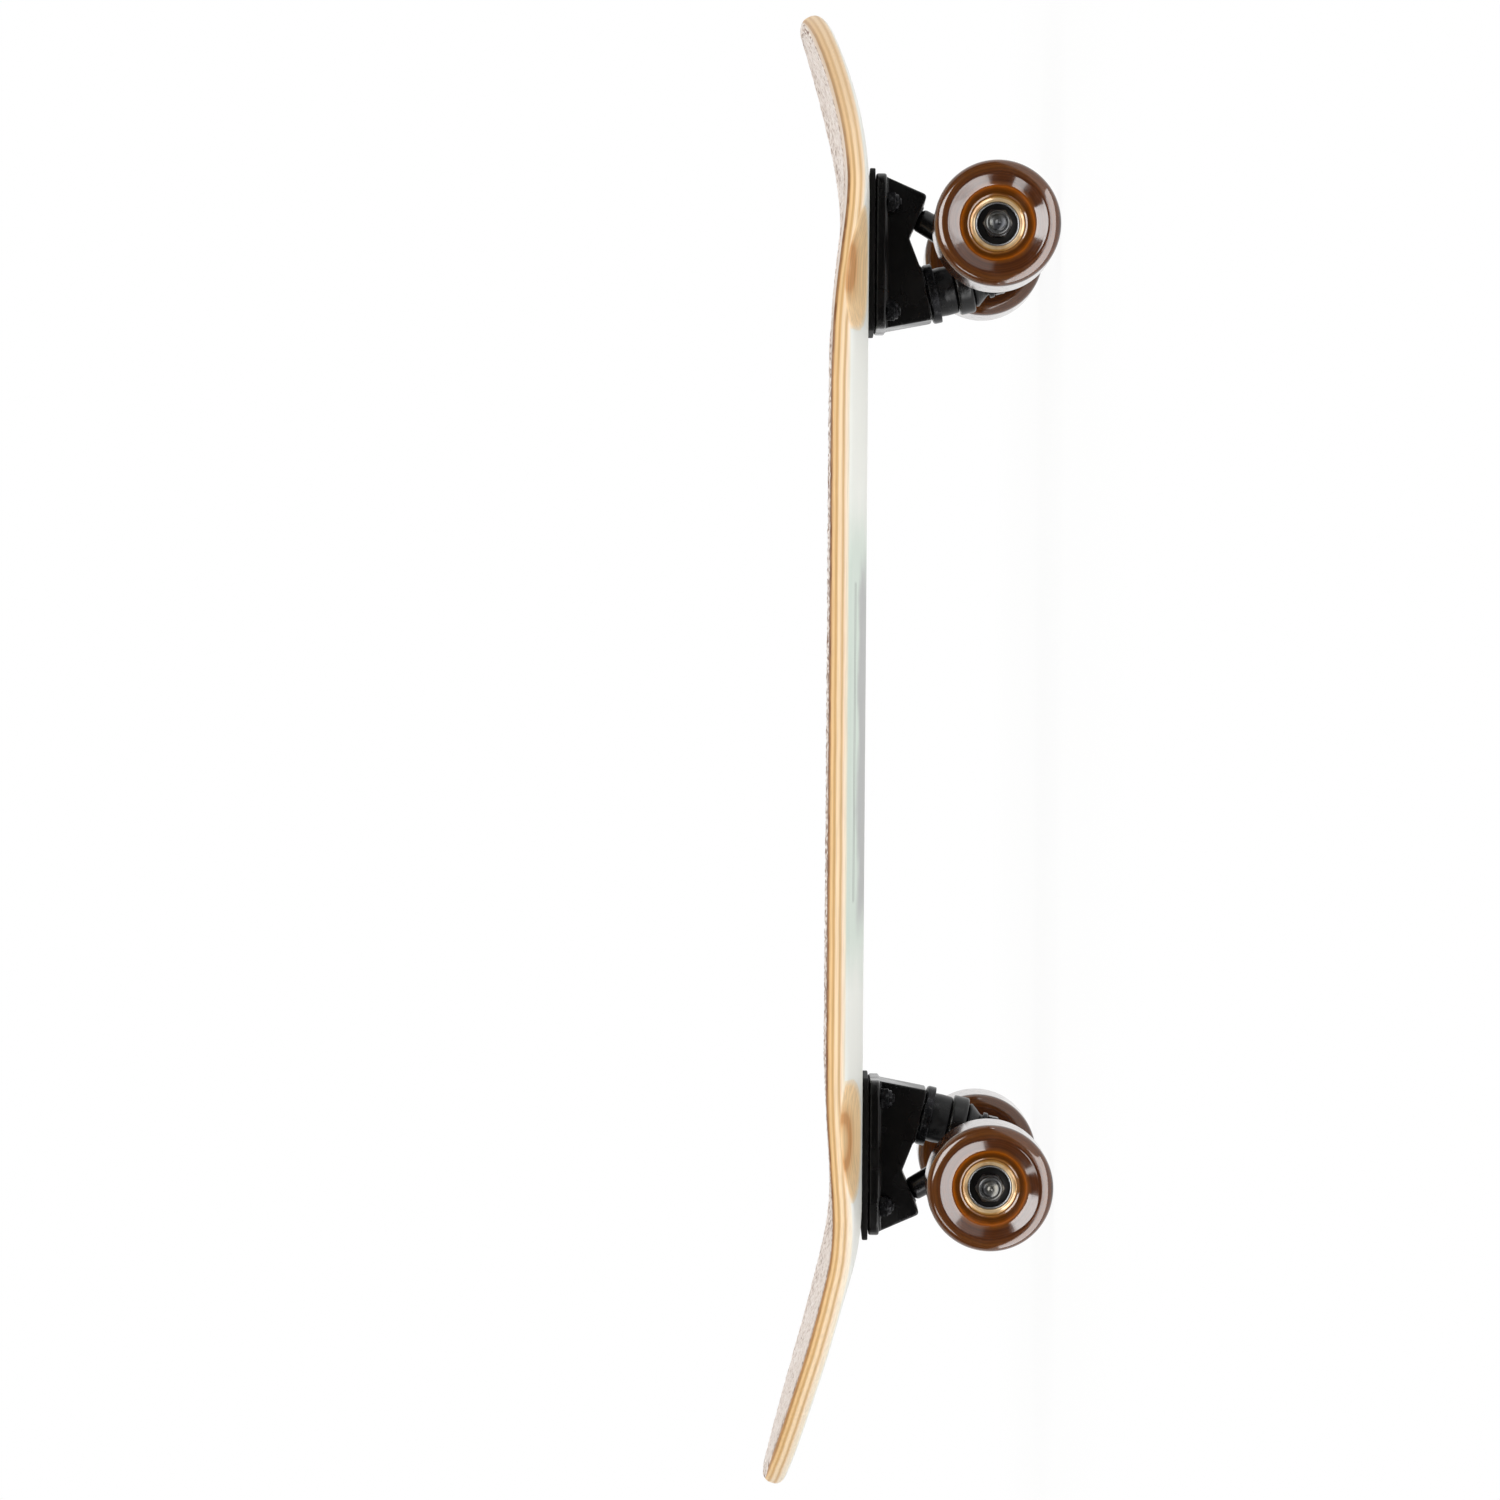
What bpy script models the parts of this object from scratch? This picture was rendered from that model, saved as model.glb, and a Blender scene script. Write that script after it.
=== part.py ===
"""Cruiser skateboard: a kicked maple deck on two kingpin trucks with four wheels.

Frame: metres, +Z up, the floor at z = 0, +X towards the nose, +Y to the rider's left.
The origin lies on the floor under the middle of the deck's length.
"""
import math

import bmesh
import bpy
from mathutils import Matrix, Vector

# Clearances between pieces that touch or run in one another
SEAT_GAP = 0.0003
BOLT_CLEARANCE = 0.0003
RUNNING_CLEARANCE = 0.0003
THROUGH_CUT = 0.05

# Deck, seen from above: the nose and tail are counted from each truck's bolt pattern
TRUCK_SPACING = 0.4462
NOSE_LENGTH = 0.1211
TAIL_LENGTH = 0.1690
DECK_WIDTH = 0.210
NOSE_ROUND_LENGTH = 0.088
TAIL_ROUND_LENGTH = 0.230
END_FULLNESS = 2.05

# Deck, seen from the side
DECK_THICKNESS = 0.0105
EDGE_ROUND = 0.0032
NOSE_KICK_OFFSET = 0.0255
NOSE_KICK_RADIUS = 0.187
NOSE_KICK_ANGLE = math.radians(28.5)
TAIL_KICK_OFFSET = 0.025
TAIL_KICK_RADIUS = 0.117
TAIL_KICK_ANGLE = math.radians(17.0)

# Deck, across: a flat middle, then rails that rise by the concave's depth
FLAT_WIDTH = 0.060
MIDDLE_CONCAVE = 0.0082
NOSE_TRUCK_CONCAVE = 0.0024
TAIL_TRUCK_CONCAVE = 0.0054
NOSE_KICK_CONCAVE = 0.0045
TAIL_KICK_CONCAVE = 0.0015
CONCAVE_FADE_START = -0.041
CONCAVE_FADE_LOW = 0.029
CONCAVE_FADE_END = 0.110

# Wheel wells, hollows scooped from the underside over each wheel, deepest near the rail
WELL_LENGTH = 0.060
WELL_WIDTH = 0.104
NOSE_WELL_DEPTH = 0.0046
TAIL_WELL_DEPTH = 0.0036
WELL_BOWL = 0.018
WELL_OFFSET = 0.013
WELL_FROM_RAIL = 0.004

# Grip sheet
GRIP_THICKNESS = 0.0008
GRIP_MARGIN = 0.0005

# Mounting hardware: countersunk bolts and lock nuts on the eight-hole pattern
HOLE_SPACING_LONG = 0.05398
HOLE_SPACING_WIDE = 0.0413
BOLT_RADIUS = 0.0024
BOLT_HEAD_RADIUS = 0.0046
BOLT_HEAD_RIM = 0.0005
BOLT_HEAD_CONE = 0.0022
BOLT_PAST_NUT = 0.0012
NUT_FLATS = 0.0095
NUT_HEIGHT = 0.0059

# Riser pad
RISER_THICKNESS = 0.0028
RISER_INBOARD = 0.0372
RISER_OUTBOARD = 0.0438
RISER_WIDTH = 0.056
RISER_CORNER = 0.006

# Truck, in its own frame: x outboard from the bolt pattern, z down from the mounting face
PLATE_THICKNESS = 0.0054
PLATE_INBOARD = 0.036
PLATE_OUTBOARD = 0.0415
PLATE_WIDTH = 0.054
PLATE_CORNER = 0.007
SEAT_OUT = -0.01725
SEAT_DOWN = 0.0262
SEAT_LENGTH = 0.0272
SEAT_WIDTH = 0.0275
SEAT_ROOT_IN = 0.005
SEAT_ROOT_OUT = 0.004
KINGPIN_TILT = math.radians(12.8)
NOTCH_OUT = 0.0105
NOTCH_DOWN = 0.0174
WEB_WIDTH = 0.018
WEB_INSET = 0.0006
PIVOT_OUT = 0.0268
PIVOT_DOWN = 0.0114
PIVOT_TILT = math.radians(30.0)
PIVOT_MOUTH = 0.012
PIVOT_FACE = 0.0132
PIVOT_BLOCK_WIDTH = 0.026
PIVOT_ROOT_IN = 0.001
PIVOT_ROOT_MARGIN = 0.0004
PIVOT_CHIN = 0.0057
PIVOT_CHIN_RISE = 0.0015
BLOCK_DRAFT = 0.02
AXLE_OUT = 0.0088
AXLE_DOWN = 0.0574

# Kingpin, bushings and cup washers, along the kingpin from its seat on the baseplate
KINGPIN_RADIUS = 0.00476
KINGPIN_FLATS = 0.0143
KINGPIN_HEAD = 0.005
KINGPIN_HEAD_DEPTH = 0.0167
KINGPIN_PAST_NUT = 0.002
KINGPIN_NUT_HEIGHT = 0.0069
HEAD_POCKET_CLEARANCE = 0.0006
BOARD_WASHER_RADIUS = 0.0150
BOARD_WASHER_LIP = 0.0050
WASHER_PLATE = 0.0017
WASHER_WALL = 0.0016
BUSHING_RADIUS = 0.0123
RING_START = 0.0146
RING_THICKNESS = 0.0081
RING_RADIUS = 0.0135
RING_BORE = 0.0093
SPIGOT_LENGTH = 0.0037
CONE_LENGTH = 0.0083
CONE_END_RADIUS = 0.0066
ROAD_WASHER_RADIUS = 0.0082
ROAD_WASHER_LIP = 0.0015

# Hanger
HANGER_WIDTH = 0.139
BEAM_RADIUS = 0.0080
BEAM_END_RADIUS = 0.0066
BEAM_END_FLARE = 0.0006
BEAM_END_LENGTH = 0.005
BEAM_TAPER_LENGTH = 0.030
YOKE_WIDTH = 0.072
YOKE_ROOT_WIDTH = 0.015
YOKE_ROOT_STEP = 0.0004
YOKE_PAST_AXLE = 0.0015
YOKE_LOW_SHARE = 0.7
YOKE_HIGH_SHARE = 0.6
RING_CUT_ABOVE = 0.004
RING_CUT_BELOW = 0.001
PIVOT_PIN_RADIUS = 0.0042
PIVOT_PIN_ROOT_RADIUS = 0.0044
PIVOT_SHOULDER = 0.005
PIVOT_SHOULDER_RADIUS = 0.0055
PIVOT_ARM_RADIUS = 0.0062
PIVOT_ARM_STRAIGHT = 0.027
PIVOT_ARM_MIDDLE_RADIUS = 0.0068
PIVOT_ARM_ROOT_RADIUS = 0.0074
PIVOT_CUP_WALL = 0.0021
PIVOT_CUP_FLANGE = 0.0015
PIVOT_CUP_FLANGE_RADIUS = 0.0090
PIVOT_CUP_MOUTH = 0.0005

# The pin's rounded end, as shares of its radius: how far past its centre, and how thick there
PIVOT_END = ((0.70, 0.72), (1.0, 0.30))

# Axle and what turns on it
AXLE_RADIUS = 0.0040
SPEED_WASHER = 0.0010
SPEED_WASHER_RADIUS = 0.0056
AXLE_NUT_FLATS = 0.0127
AXLE_NUT_HEIGHT = 0.0060
AXLE_PAST_NUT = 0.0011
BEARING_RADIUS = 0.0110
BEARING_WIDTH = 0.0070
RACE_WALL = 0.0013
SHIELD_RECESS = 0.0003
INNER_RACE_RADIUS = 0.0061
SPACER_RADIUS = 0.0050
SPACER_LENGTH = 0.0100

# Wheel
WHEEL_RADIUS = 0.0305
WHEEL_WIDTH = 0.041
WHEEL_LIP = 0.0045
WHEEL_DISH_RADIUS = 0.0205
CORE_END_RADIUS = 0.0142
WHEEL_DISH_DEPTH = 0.0024
CORE_PAST_BEARING = 0.0010
CORE_RISE = 0.0004
CORE_SHOULDER = 0.0017

# Facets round the turned pieces
WHEEL_FACETS = 24
STACK_FACETS = 16
SMALL_FACETS = 16
AXLE_FACETS = 12
BOLT_FACETS = 10
HEXAGON_POINTS = 12
CORNER_STEPS = 3
SHARP_ANGLE = math.radians(35)

# Steps of the board's outline, its rim and its bends
END_STEPS = 7
END_LAST_ANGLE = math.radians(85)
ROW_SHARES = (-0.86, -0.62, -0.30, 0.0, 0.30, 0.62, 0.86)
RIM_STEPS = 2
FADE_STEPS = 4
ARC_STEPS = 3
LEAST_STATION_STEP = 0.006
WELL_SEGMENTS = 16
WELL_RINGS = 12

# Places worked out from the sizes above
DECK_LENGTH = NOSE_LENGTH + TRUCK_SPACING + TAIL_LENGTH
FRONT_X = DECK_LENGTH / 2 - NOSE_LENGTH
REAR_X = TAIL_LENGTH - DECK_LENGTH / 2
TRUCK_Z = WHEEL_RADIUS + AXLE_DOWN
DECK_BOTTOM = TRUCK_Z + RISER_THICKNESS + 2 * SEAT_GAP
DECK_TOP = DECK_BOTTOM + DECK_THICKNESS
NOSE_KICK_X = FRONT_X + NOSE_KICK_OFFSET
TAIL_KICK_X = REAR_X - TAIL_KICK_OFFSET

KINGPIN_SEAT = Vector((SEAT_OUT, 0, -SEAT_DOWN))
KINGPIN_LINE = Vector((math.sin(KINGPIN_TILT), 0, -math.cos(KINGPIN_TILT)))
PIVOT_TIP = Vector((PIVOT_OUT, 0, -PIVOT_DOWN))
PIVOT_LINE = Vector((-math.sin(PIVOT_TILT), 0, -math.cos(PIVOT_TILT)))
AXLE_POINT = Vector((AXLE_OUT, 0, -AXLE_DOWN))
RING_POINT = KINGPIN_SEAT + KINGPIN_LINE * (RING_START + RING_THICKNESS / 2)

RING_END = RING_START + RING_THICKNESS
CONE_START = RING_END + SEAT_GAP
CONE_END = CONE_START + CONE_LENGTH
ROAD_WASHER_START = CONE_END + SEAT_GAP
KINGPIN_NUT_START = ROAD_WASHER_START + WASHER_PLATE + SEAT_GAP
KINGPIN_END = KINGPIN_NUT_START + KINGPIN_NUT_HEIGHT + KINGPIN_PAST_NUT

WASHER_START = HANGER_WIDTH / 2 + SEAT_GAP
STACK_START = WASHER_START + SPEED_WASHER + SEAT_GAP
STACK_LENGTH = 2 * BEARING_WIDTH + SPACER_LENGTH
WHEEL_Y = STACK_START + STACK_LENGTH / 2
AXLE_NUT_START = STACK_START + STACK_LENGTH + SEAT_GAP
AXLE_END = AXLE_NUT_START + SPEED_WASHER + AXLE_NUT_HEIGHT + AXLE_PAST_NUT


# Materials


def material(name, colour, roughness, metallic=0.0):
    """A plain Principled material from an sRGB hex colour."""
    made = bpy.data.materials.new(name)
    made.use_nodes = True
    shader = made.node_tree.nodes["Principled BSDF"]
    parts = [int(colour[i:i + 2], 16) / 255 for i in (1, 3, 5)]
    linear = [c / 12.92 if c <= 0.04045 else ((c + 0.055) / 1.055) ** 2.4 for c in parts]
    shader.inputs["Base Color"].default_value = (*linear, 1)
    shader.inputs["Roughness"].default_value = roughness
    shader.inputs["Metallic"].default_value = metallic
    return made


def materials():
    """Every finish on the board, by its plain name."""
    return {
        "maple": material("maple_plies", "#e8c08a", 0.45),
        "grip": material("clear_grit", "#d8ccc4", 0.95),
        "rubber": material("black_rubber", "#151515", 0.7),
        "paint": material("black_painted_aluminium", "#0e0e0e", 0.25),
        "bushing": material("charcoal_urethane", "#2b2e33", 0.5),
        "black_steel": material("black_oxide_steel", "#161616", 0.4, 0.6),
        "steel": material("zinc_plated_steel", "#8f9092", 0.3, 1.0),
        "urethane": material("brown_urethane", "#5a3018", 0.15),
        "shield": material("black_shielded_bearing", "#141414", 0.4),
    }


# Solids made from outlines


def turned(profile, facets, ring=False, phase=0.5):
    """A solid turned about Z from (radius, height) points; a ring closes its profile."""
    bm = bmesh.new()
    rings = []
    for radius, height in profile:
        loop = []
        for step in range(facets):
            angle = math.tau * (step + phase) / facets
            loop.append(bm.verts.new((radius * math.cos(angle), radius * math.sin(angle), height)))
        rings.append(loop)
    pairs = list(zip(rings, rings[1:]))
    if ring:
        pairs.append((rings[-1], rings[0]))
    else:
        bm.faces.new(rings[0])
        bm.faces.new(rings[-1])
    for lower, upper in pairs:
        join_loops(bm, lower, upper)
    bmesh.ops.recalc_face_normals(bm, faces=bm.faces)
    return bm


def join_loops(bm, first, second):
    """Quads between two closed loops of as many points."""
    count = len(first)
    for step in range(count):
        after = (step + 1) % count
        bm.faces.new((first[step], first[after], second[after], second[step]))


def hexagonal(flats, height, bore=None, start=0.0):
    """A hexagon nut or head along Z, with a round bore where it has one."""
    bm = bmesh.new()
    outer = []
    inner = []
    for step in range(HEXAGON_POINTS):
        angle = math.tau * step / HEXAGON_POINTS
        reach = flats / 2 if step % 2 == 0 else flats / 2 / math.cos(math.pi / 6)
        outer.append((reach * math.cos(angle), reach * math.sin(angle)))
        if bore:
            inner.append((bore * math.cos(angle), bore * math.sin(angle)))
    loops = []
    for level in (start, start + height):
        loops.append([bm.verts.new((x, y, level)) for x, y in outer])
    join_loops(bm, loops[0], loops[1])
    if bore:
        for level in (start, start + height):
            loops.append([bm.verts.new((x, y, level)) for x, y in inner])
        join_loops(bm, loops[2], loops[3])
        join_loops(bm, loops[0], loops[2])
        join_loops(bm, loops[1], loops[3])
    else:
        bm.faces.new(loops[0])
        bm.faces.new(loops[1])
    bmesh.ops.recalc_face_normals(bm, faces=bm.faces)
    return bm


def prism(outline, half_width, draft=0.0):
    """An outline of (x, depth) points drawn out both ways along Y, narrower with depth."""
    bm = bmesh.new()
    sides = []
    for side in (-1, 1):
        sides.append([bm.verts.new((x, side * (half_width - draft * depth), -depth))
                      for x, depth in outline])
    bm.faces.new(sides[0])
    bm.faces.new(sides[1])
    join_loops(bm, sides[0], sides[1])
    bmesh.ops.recalc_face_normals(bm, faces=bm.faces)
    return bm


def rounded_plate(low_x, high_x, width, corner, top, bottom):
    """A flat plate with rounded corners, seen from above."""
    bm = bmesh.new()
    outline = []
    corners = [(high_x - corner, width / 2 - corner), (low_x + corner, width / 2 - corner),
               (low_x + corner, corner - width / 2), (high_x - corner, corner - width / 2)]
    for quarter, (x, y) in enumerate(corners):
        for step in range(CORNER_STEPS + 1):
            angle = math.pi / 2 * (quarter + step / CORNER_STEPS)
            outline.append((x + corner * math.cos(angle), y + corner * math.sin(angle)))
    loops = [[bm.verts.new((x, y, level)) for x, y in outline] for level in (top, bottom)]
    join_loops(bm, loops[0], loops[1])
    bm.faces.new(loops[0])
    bm.faces.new(loops[1])
    bmesh.ops.recalc_face_normals(bm, faces=bm.faces)
    return bm


def swept(places, facets):
    """A round bar along (point, radius) places whose points lie in the XZ plane."""
    bm = bmesh.new()
    rings = []
    for index, (point, radius) in enumerate(places):
        before = places[max(index - 1, 0)][0]
        after = places[min(index + 1, len(places) - 1)][0]
        along = (after - before).normalized()
        side = Vector((0, 1, 0))
        up = along.cross(side)
        loop = []
        for step in range(facets):
            angle = math.tau * step / facets
            offset = side * math.cos(angle) + up * math.sin(angle)
            loop.append(bm.verts.new(point + offset * radius))
        rings.append(loop)
    bm.faces.new(rings[0])
    bm.faces.new(rings[-1])
    for first, second in zip(rings, rings[1:]):
        join_loops(bm, first, second)
    bmesh.ops.recalc_face_normals(bm, faces=bm.faces)
    return bm


def wedge(first, second):
    """A solid between two four-cornered faces."""
    bm = bmesh.new()
    loops = [[bm.verts.new(corner) for corner in face] for face in (first, second)]
    join_loops(bm, loops[0], loops[1])
    bm.faces.new(loops[0])
    bm.faces.new(loops[1])
    bmesh.ops.triangulate(bm, faces=bm.faces)
    bmesh.ops.recalc_face_normals(bm, faces=bm.faces)
    return bm


def moved(bm, matrix):
    """The same solid in another place."""
    bmesh.ops.transform(bm, matrix=matrix, verts=bm.verts)
    return bm


def line_frame(point, direction):
    """The matrix that stands Z along a direction at a point, keeping Y across the truck."""
    across = Vector((0, 1, 0))
    side = across.cross(direction)
    frame = Matrix((side, across, direction)).transposed().to_4x4()
    frame.translation = point
    return frame


KINGPIN_FRAME = line_frame(KINGPIN_SEAT, KINGPIN_LINE)
PIVOT_FRAME = line_frame(PIVOT_TIP, PIVOT_LINE)


# Objects


def mesh_object(name, bm):
    """A new object that holds a finished mesh."""
    mesh = bpy.data.meshes.new(name)
    bm.to_mesh(mesh)
    bm.free()
    made = bpy.data.objects.new(name, mesh)
    bpy.context.collection.objects.link(made)
    return made


def combine(body, other, operation):
    """Unite a body with another mesh, or cut that mesh out of it."""
    tool = mesh_object(body.name + "_tool", other)
    step = body.modifiers.new(operation.lower(), "BOOLEAN")
    step.operation = operation
    step.solver = "EXACT"
    step.object = tool
    bpy.context.view_layer.update()
    result = bpy.data.meshes.new_from_object(body.evaluated_get(bpy.context.evaluated_depsgraph_get()))
    body.modifiers.clear()
    old = body.data
    body.data = result
    bpy.data.meshes.remove(old)
    bpy.data.objects.remove(tool)


def finished(made, finish, parent=None, origin=(0, 0, 0)):
    """Give an object its finish, its parent and its origin, with round faces smooth."""
    made.data.transform(Matrix.Translation(-Vector(origin)))
    made.parent = parent
    made.location = origin
    made.data.materials.clear()
    made.data.materials.append(finish)
    made.data.shade_smooth()
    made.data.set_sharp_from_angle(angle=SHARP_ANGLE)
    return made


def empty(name, location, turn=0.0, parent=None):
    """A guide that carries the pieces which sit or move together."""
    made = bpy.data.objects.new(name, None)
    made.location = location
    made.rotation_euler.z = turn
    made.parent = parent
    bpy.context.collection.objects.link(made)
    return made


# Deck and grip


def smooth_step(value):
    """Rise from 0 to 1 with a level start and end."""
    value = min(max(value, 0.0), 1.0)
    return value * value * (3 - 2 * value)


def concave(s, y):
    """How far the board rises at a place because its rails are pressed up."""
    if s > 0:
        outboard, at_truck, at_kick = s - FRONT_X, NOSE_TRUCK_CONCAVE, NOSE_KICK_CONCAVE
    else:
        outboard, at_truck, at_kick = REAR_X - s, TAIL_TRUCK_CONCAVE, TAIL_KICK_CONCAVE
    to_truck = smooth_step((outboard - CONCAVE_FADE_START) / (CONCAVE_FADE_LOW - CONCAVE_FADE_START))
    to_kick = smooth_step((outboard - CONCAVE_FADE_LOW) / (CONCAVE_FADE_END - CONCAVE_FADE_LOW))
    depth = MIDDLE_CONCAVE + (at_truck - MIDDLE_CONCAVE) * to_truck
    depth += (at_kick - at_truck) * to_kick
    rise = max(abs(y) - FLAT_WIDTH / 2, 0) / (DECK_WIDTH / 2 - FLAT_WIDTH / 2)
    return depth * rise * rise


def bend(s, y, height):
    """The place in the pressed board of a point in the flat one.

    s runs along the underside, y across, and height up from the underside.
    """
    height += concave(s, y)
    if s > NOSE_KICK_X:
        start, run, way = NOSE_KICK_X, s - NOSE_KICK_X, 1
        radius, most = NOSE_KICK_RADIUS, NOSE_KICK_ANGLE
    elif s < TAIL_KICK_X:
        start, run, way = TAIL_KICK_X, TAIL_KICK_X - s, -1
        radius, most = TAIL_KICK_RADIUS, TAIL_KICK_ANGLE
    else:
        return Vector((s, y, DECK_BOTTOM + height))
    turn = min(run / radius, most)
    straight = run - radius * turn
    out = (radius - height) * math.sin(turn) + straight * math.cos(turn)
    up = radius - (radius - height) * math.cos(turn) + straight * math.sin(turn)
    return Vector((start + way * out, y, DECK_BOTTOM + up))


def kick_run(reach, radius, most):
    """How much of the flat board a kick takes up to stand out by its reach."""
    inner = radius - EDGE_ROUND
    reach -= EDGE_ROUND
    if reach <= inner * math.sin(most):
        return radius * math.asin(reach / inner) + EDGE_ROUND
    return radius * most + (reach - inner * math.sin(most)) / math.cos(most) + EDGE_ROUND


NOSE_TIP = NOSE_KICK_X + kick_run(NOSE_LENGTH - NOSE_KICK_OFFSET, NOSE_KICK_RADIUS, NOSE_KICK_ANGLE)
TAIL_TIP = TAIL_KICK_X - kick_run(TAIL_LENGTH - TAIL_KICK_OFFSET, TAIL_KICK_RADIUS, TAIL_KICK_ANGLE)


END_LAST_SHARE = math.sin(END_LAST_ANGLE) ** (2 / END_FULLNESS)


def half_width(s):
    """Half the flat board's width at a place: full along the middle, rounded at each end."""
    tip, length = (NOSE_TIP, NOSE_ROUND_LENGTH) if s > 0 else (TAIL_TIP, TAIL_ROUND_LENGTH)
    share = max(1 - abs(tip - s) / length, 0) * END_LAST_SHARE
    angle = math.asin(share ** (END_FULLNESS / 2))
    return DECK_WIDTH / 2 * math.cos(angle) ** (2 / END_FULLNESS)


def board_stations():
    """Stations along the flat board from tail to nose, as (place, half width)."""
    places = []
    for tip, length in ((NOSE_TIP, NOSE_ROUND_LENGTH), (TAIL_TIP, -TAIL_ROUND_LENGTH)):
        for step in range(END_STEPS + 1):
            angle = END_LAST_ANGLE * step / END_STEPS
            share = math.sin(angle) ** (2 / END_FULLNESS) / END_LAST_SHARE
            places.append(tip - length * (1 - share))
    between = []
    for step in range(FADE_STEPS + 1):
        share = step / FADE_STEPS
        outboard = CONCAVE_FADE_START + (CONCAVE_FADE_LOW - CONCAVE_FADE_START) * share
        between += [FRONT_X + outboard, REAR_X - outboard]
    for step in range(ARC_STEPS + 1):
        share = step / ARC_STEPS
        between.append(TAIL_KICK_X - TAIL_KICK_RADIUS * TAIL_KICK_ANGLE * share)
        between.append(NOSE_KICK_X + NOSE_KICK_RADIUS * NOSE_KICK_ANGLE * share)
    for place in between:
        if min(abs(place - other) for other in places) > LEAST_STATION_STEP:
            places.append(place)
    return [(place, half_width(place)) for place in sorted(places)]


def board_outline(stations):
    """The flat board's outline as points: the left side, the nose, the right side, the tail."""
    left = [Vector((s, half)) for s, half in stations]
    right = [Vector((s, -half)) for s, half in stations]
    nose = [Vector((stations[-1][0], -share * stations[-1][1])) for share in ROW_SHARES]
    tail = [Vector((stations[0][0], share * stations[0][1])) for share in ROW_SHARES]
    return left + nose + right[::-1] + tail


def inset_outline(outline, distance):
    """The same outline moved inwards by a distance, square to its edges."""
    count = len(outline)
    moved_points = []
    for index, point in enumerate(outline):
        before = (point - outline[index - 1]).normalized()
        after = (outline[(index + 1) % count] - point).normalized()
        across = Vector((before.y + after.y, -(before.x + after.x))).normalized()
        square = across.dot(Vector((before.y, -before.x)))
        moved_points.append(point + across * distance / square)
    return moved_points


def board_sheet(rim):
    """A sheet of the board's outline, bent with it; the rim is (inset, height) from top down."""
    bm = bmesh.new()
    stations = board_stations()
    outline = board_outline(stations)
    along = len(stations)
    across = len(ROW_SHARES)
    rings = []
    for inset, height in rim:
        flat = inset_outline(outline, inset)
        rings.append([(bm.verts.new(bend(p.x, p.y, height)), p, height) for p in flat])
    for first, second in zip(rings, rings[1:]):
        join_loops(bm, [v for v, _, _ in first], [v for v, _, _ in second])
    for ring in (rings[0], rings[-1]):
        left = ring[:along]
        nose = ring[along:along + across]
        right = ring[along + across:2 * along + across][::-1]
        tail = ring[2 * along + across:]
        rows = []
        for index in range(along):
            height = left[index][2]
            if index == 0:
                inner = [v for v, _, _ in tail[::-1]]
            elif index == along - 1:
                inner = [v for v, _, _ in nose]
            else:
                s, half = left[index][1]
                inner = [bm.verts.new(bend(s, -share * half, height)) for share in ROW_SHARES]
            rows.append([left[index][0], *inner, right[index][0]])
        for first, second in zip(rows, rows[1:]):
            for step in range(len(first) - 1):
                bm.faces.new((first[step], first[step + 1], second[step + 1], second[step]))
    bmesh.ops.triangulate(bm, faces=bm.faces)
    bmesh.ops.recalc_face_normals(bm, faces=bm.faces)
    return bm


def rounded_rim():
    """The deck's edge from its top face round to its underside."""
    rim = [(EDGE_ROUND, DECK_THICKNESS), (0, DECK_THICKNESS - EDGE_ROUND)]
    for step in range(RIM_STEPS + 1):
        angle = math.pi / 2 * step / RIM_STEPS
        rim.append((EDGE_ROUND * (1 - math.cos(angle)), EDGE_ROUND * (1 - math.sin(angle))))
    return rim


def well_cutter(truck_x, way, side, depth):
    """A shallow bowl laid in the flat board and bent with it."""
    bm = bmesh.new()
    bmesh.ops.create_uvsphere(bm, u_segments=WELL_SEGMENTS, v_segments=WELL_RINGS, radius=1.0)
    rim_share = math.sqrt(1 - (1 - depth / WELL_BOWL) ** 2)
    centre_s = truck_x - way * WELL_OFFSET
    centre_y = side * (DECK_WIDTH / 2 - WELL_FROM_RAIL)
    for vert in bm.verts:
        s = centre_s + vert.co.x * WELL_LENGTH / 2 / rim_share
        y = centre_y + vert.co.y * WELL_WIDTH / 2 / rim_share
        vert.co = bend(s, y, depth + (vert.co.z - 1) * WELL_BOWL)
    return bm


def hole_places():
    """The four bolt places of a truck, x outboard and y to the left."""
    return [(x * HOLE_SPACING_LONG / 2, y * HOLE_SPACING_WIDE / 2)
            for x, y in ((1, 1), (1, -1), (-1, 1), (-1, -1))]


def countersunk(radius_extra, top, bottom):
    """The turned shape of a mounting bolt between two heights under the deck's top."""
    head = BOLT_HEAD_RADIUS + radius_extra
    shank = BOLT_RADIUS + radius_extra
    rim = -BOLT_HEAD_RIM - radius_extra
    return turned([(head, top), (head, rim), (shank, rim - BOLT_HEAD_CONE), (shank, bottom)],
                  BOLT_FACETS)


def deck(finish):
    """The pressed deck with its bolt holes and wheel wells."""
    body = mesh_object("deck", board_sheet(rounded_rim()))
    for truck_x, way, depth in ((FRONT_X, 1, NOSE_WELL_DEPTH), (REAR_X, -1, TAIL_WELL_DEPTH)):
        for x, y in hole_places():
            hole = countersunk(BOLT_CLEARANCE, DECK_THICKNESS, -2 * DECK_THICKNESS)
            combine(body, moved(hole, Matrix.Translation((truck_x + x, y, DECK_TOP))), "DIFFERENCE")
        for side in (-1, 1):
            combine(body, well_cutter(truck_x, way, side, depth), "DIFFERENCE")
    return finished(body, finish)


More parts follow.
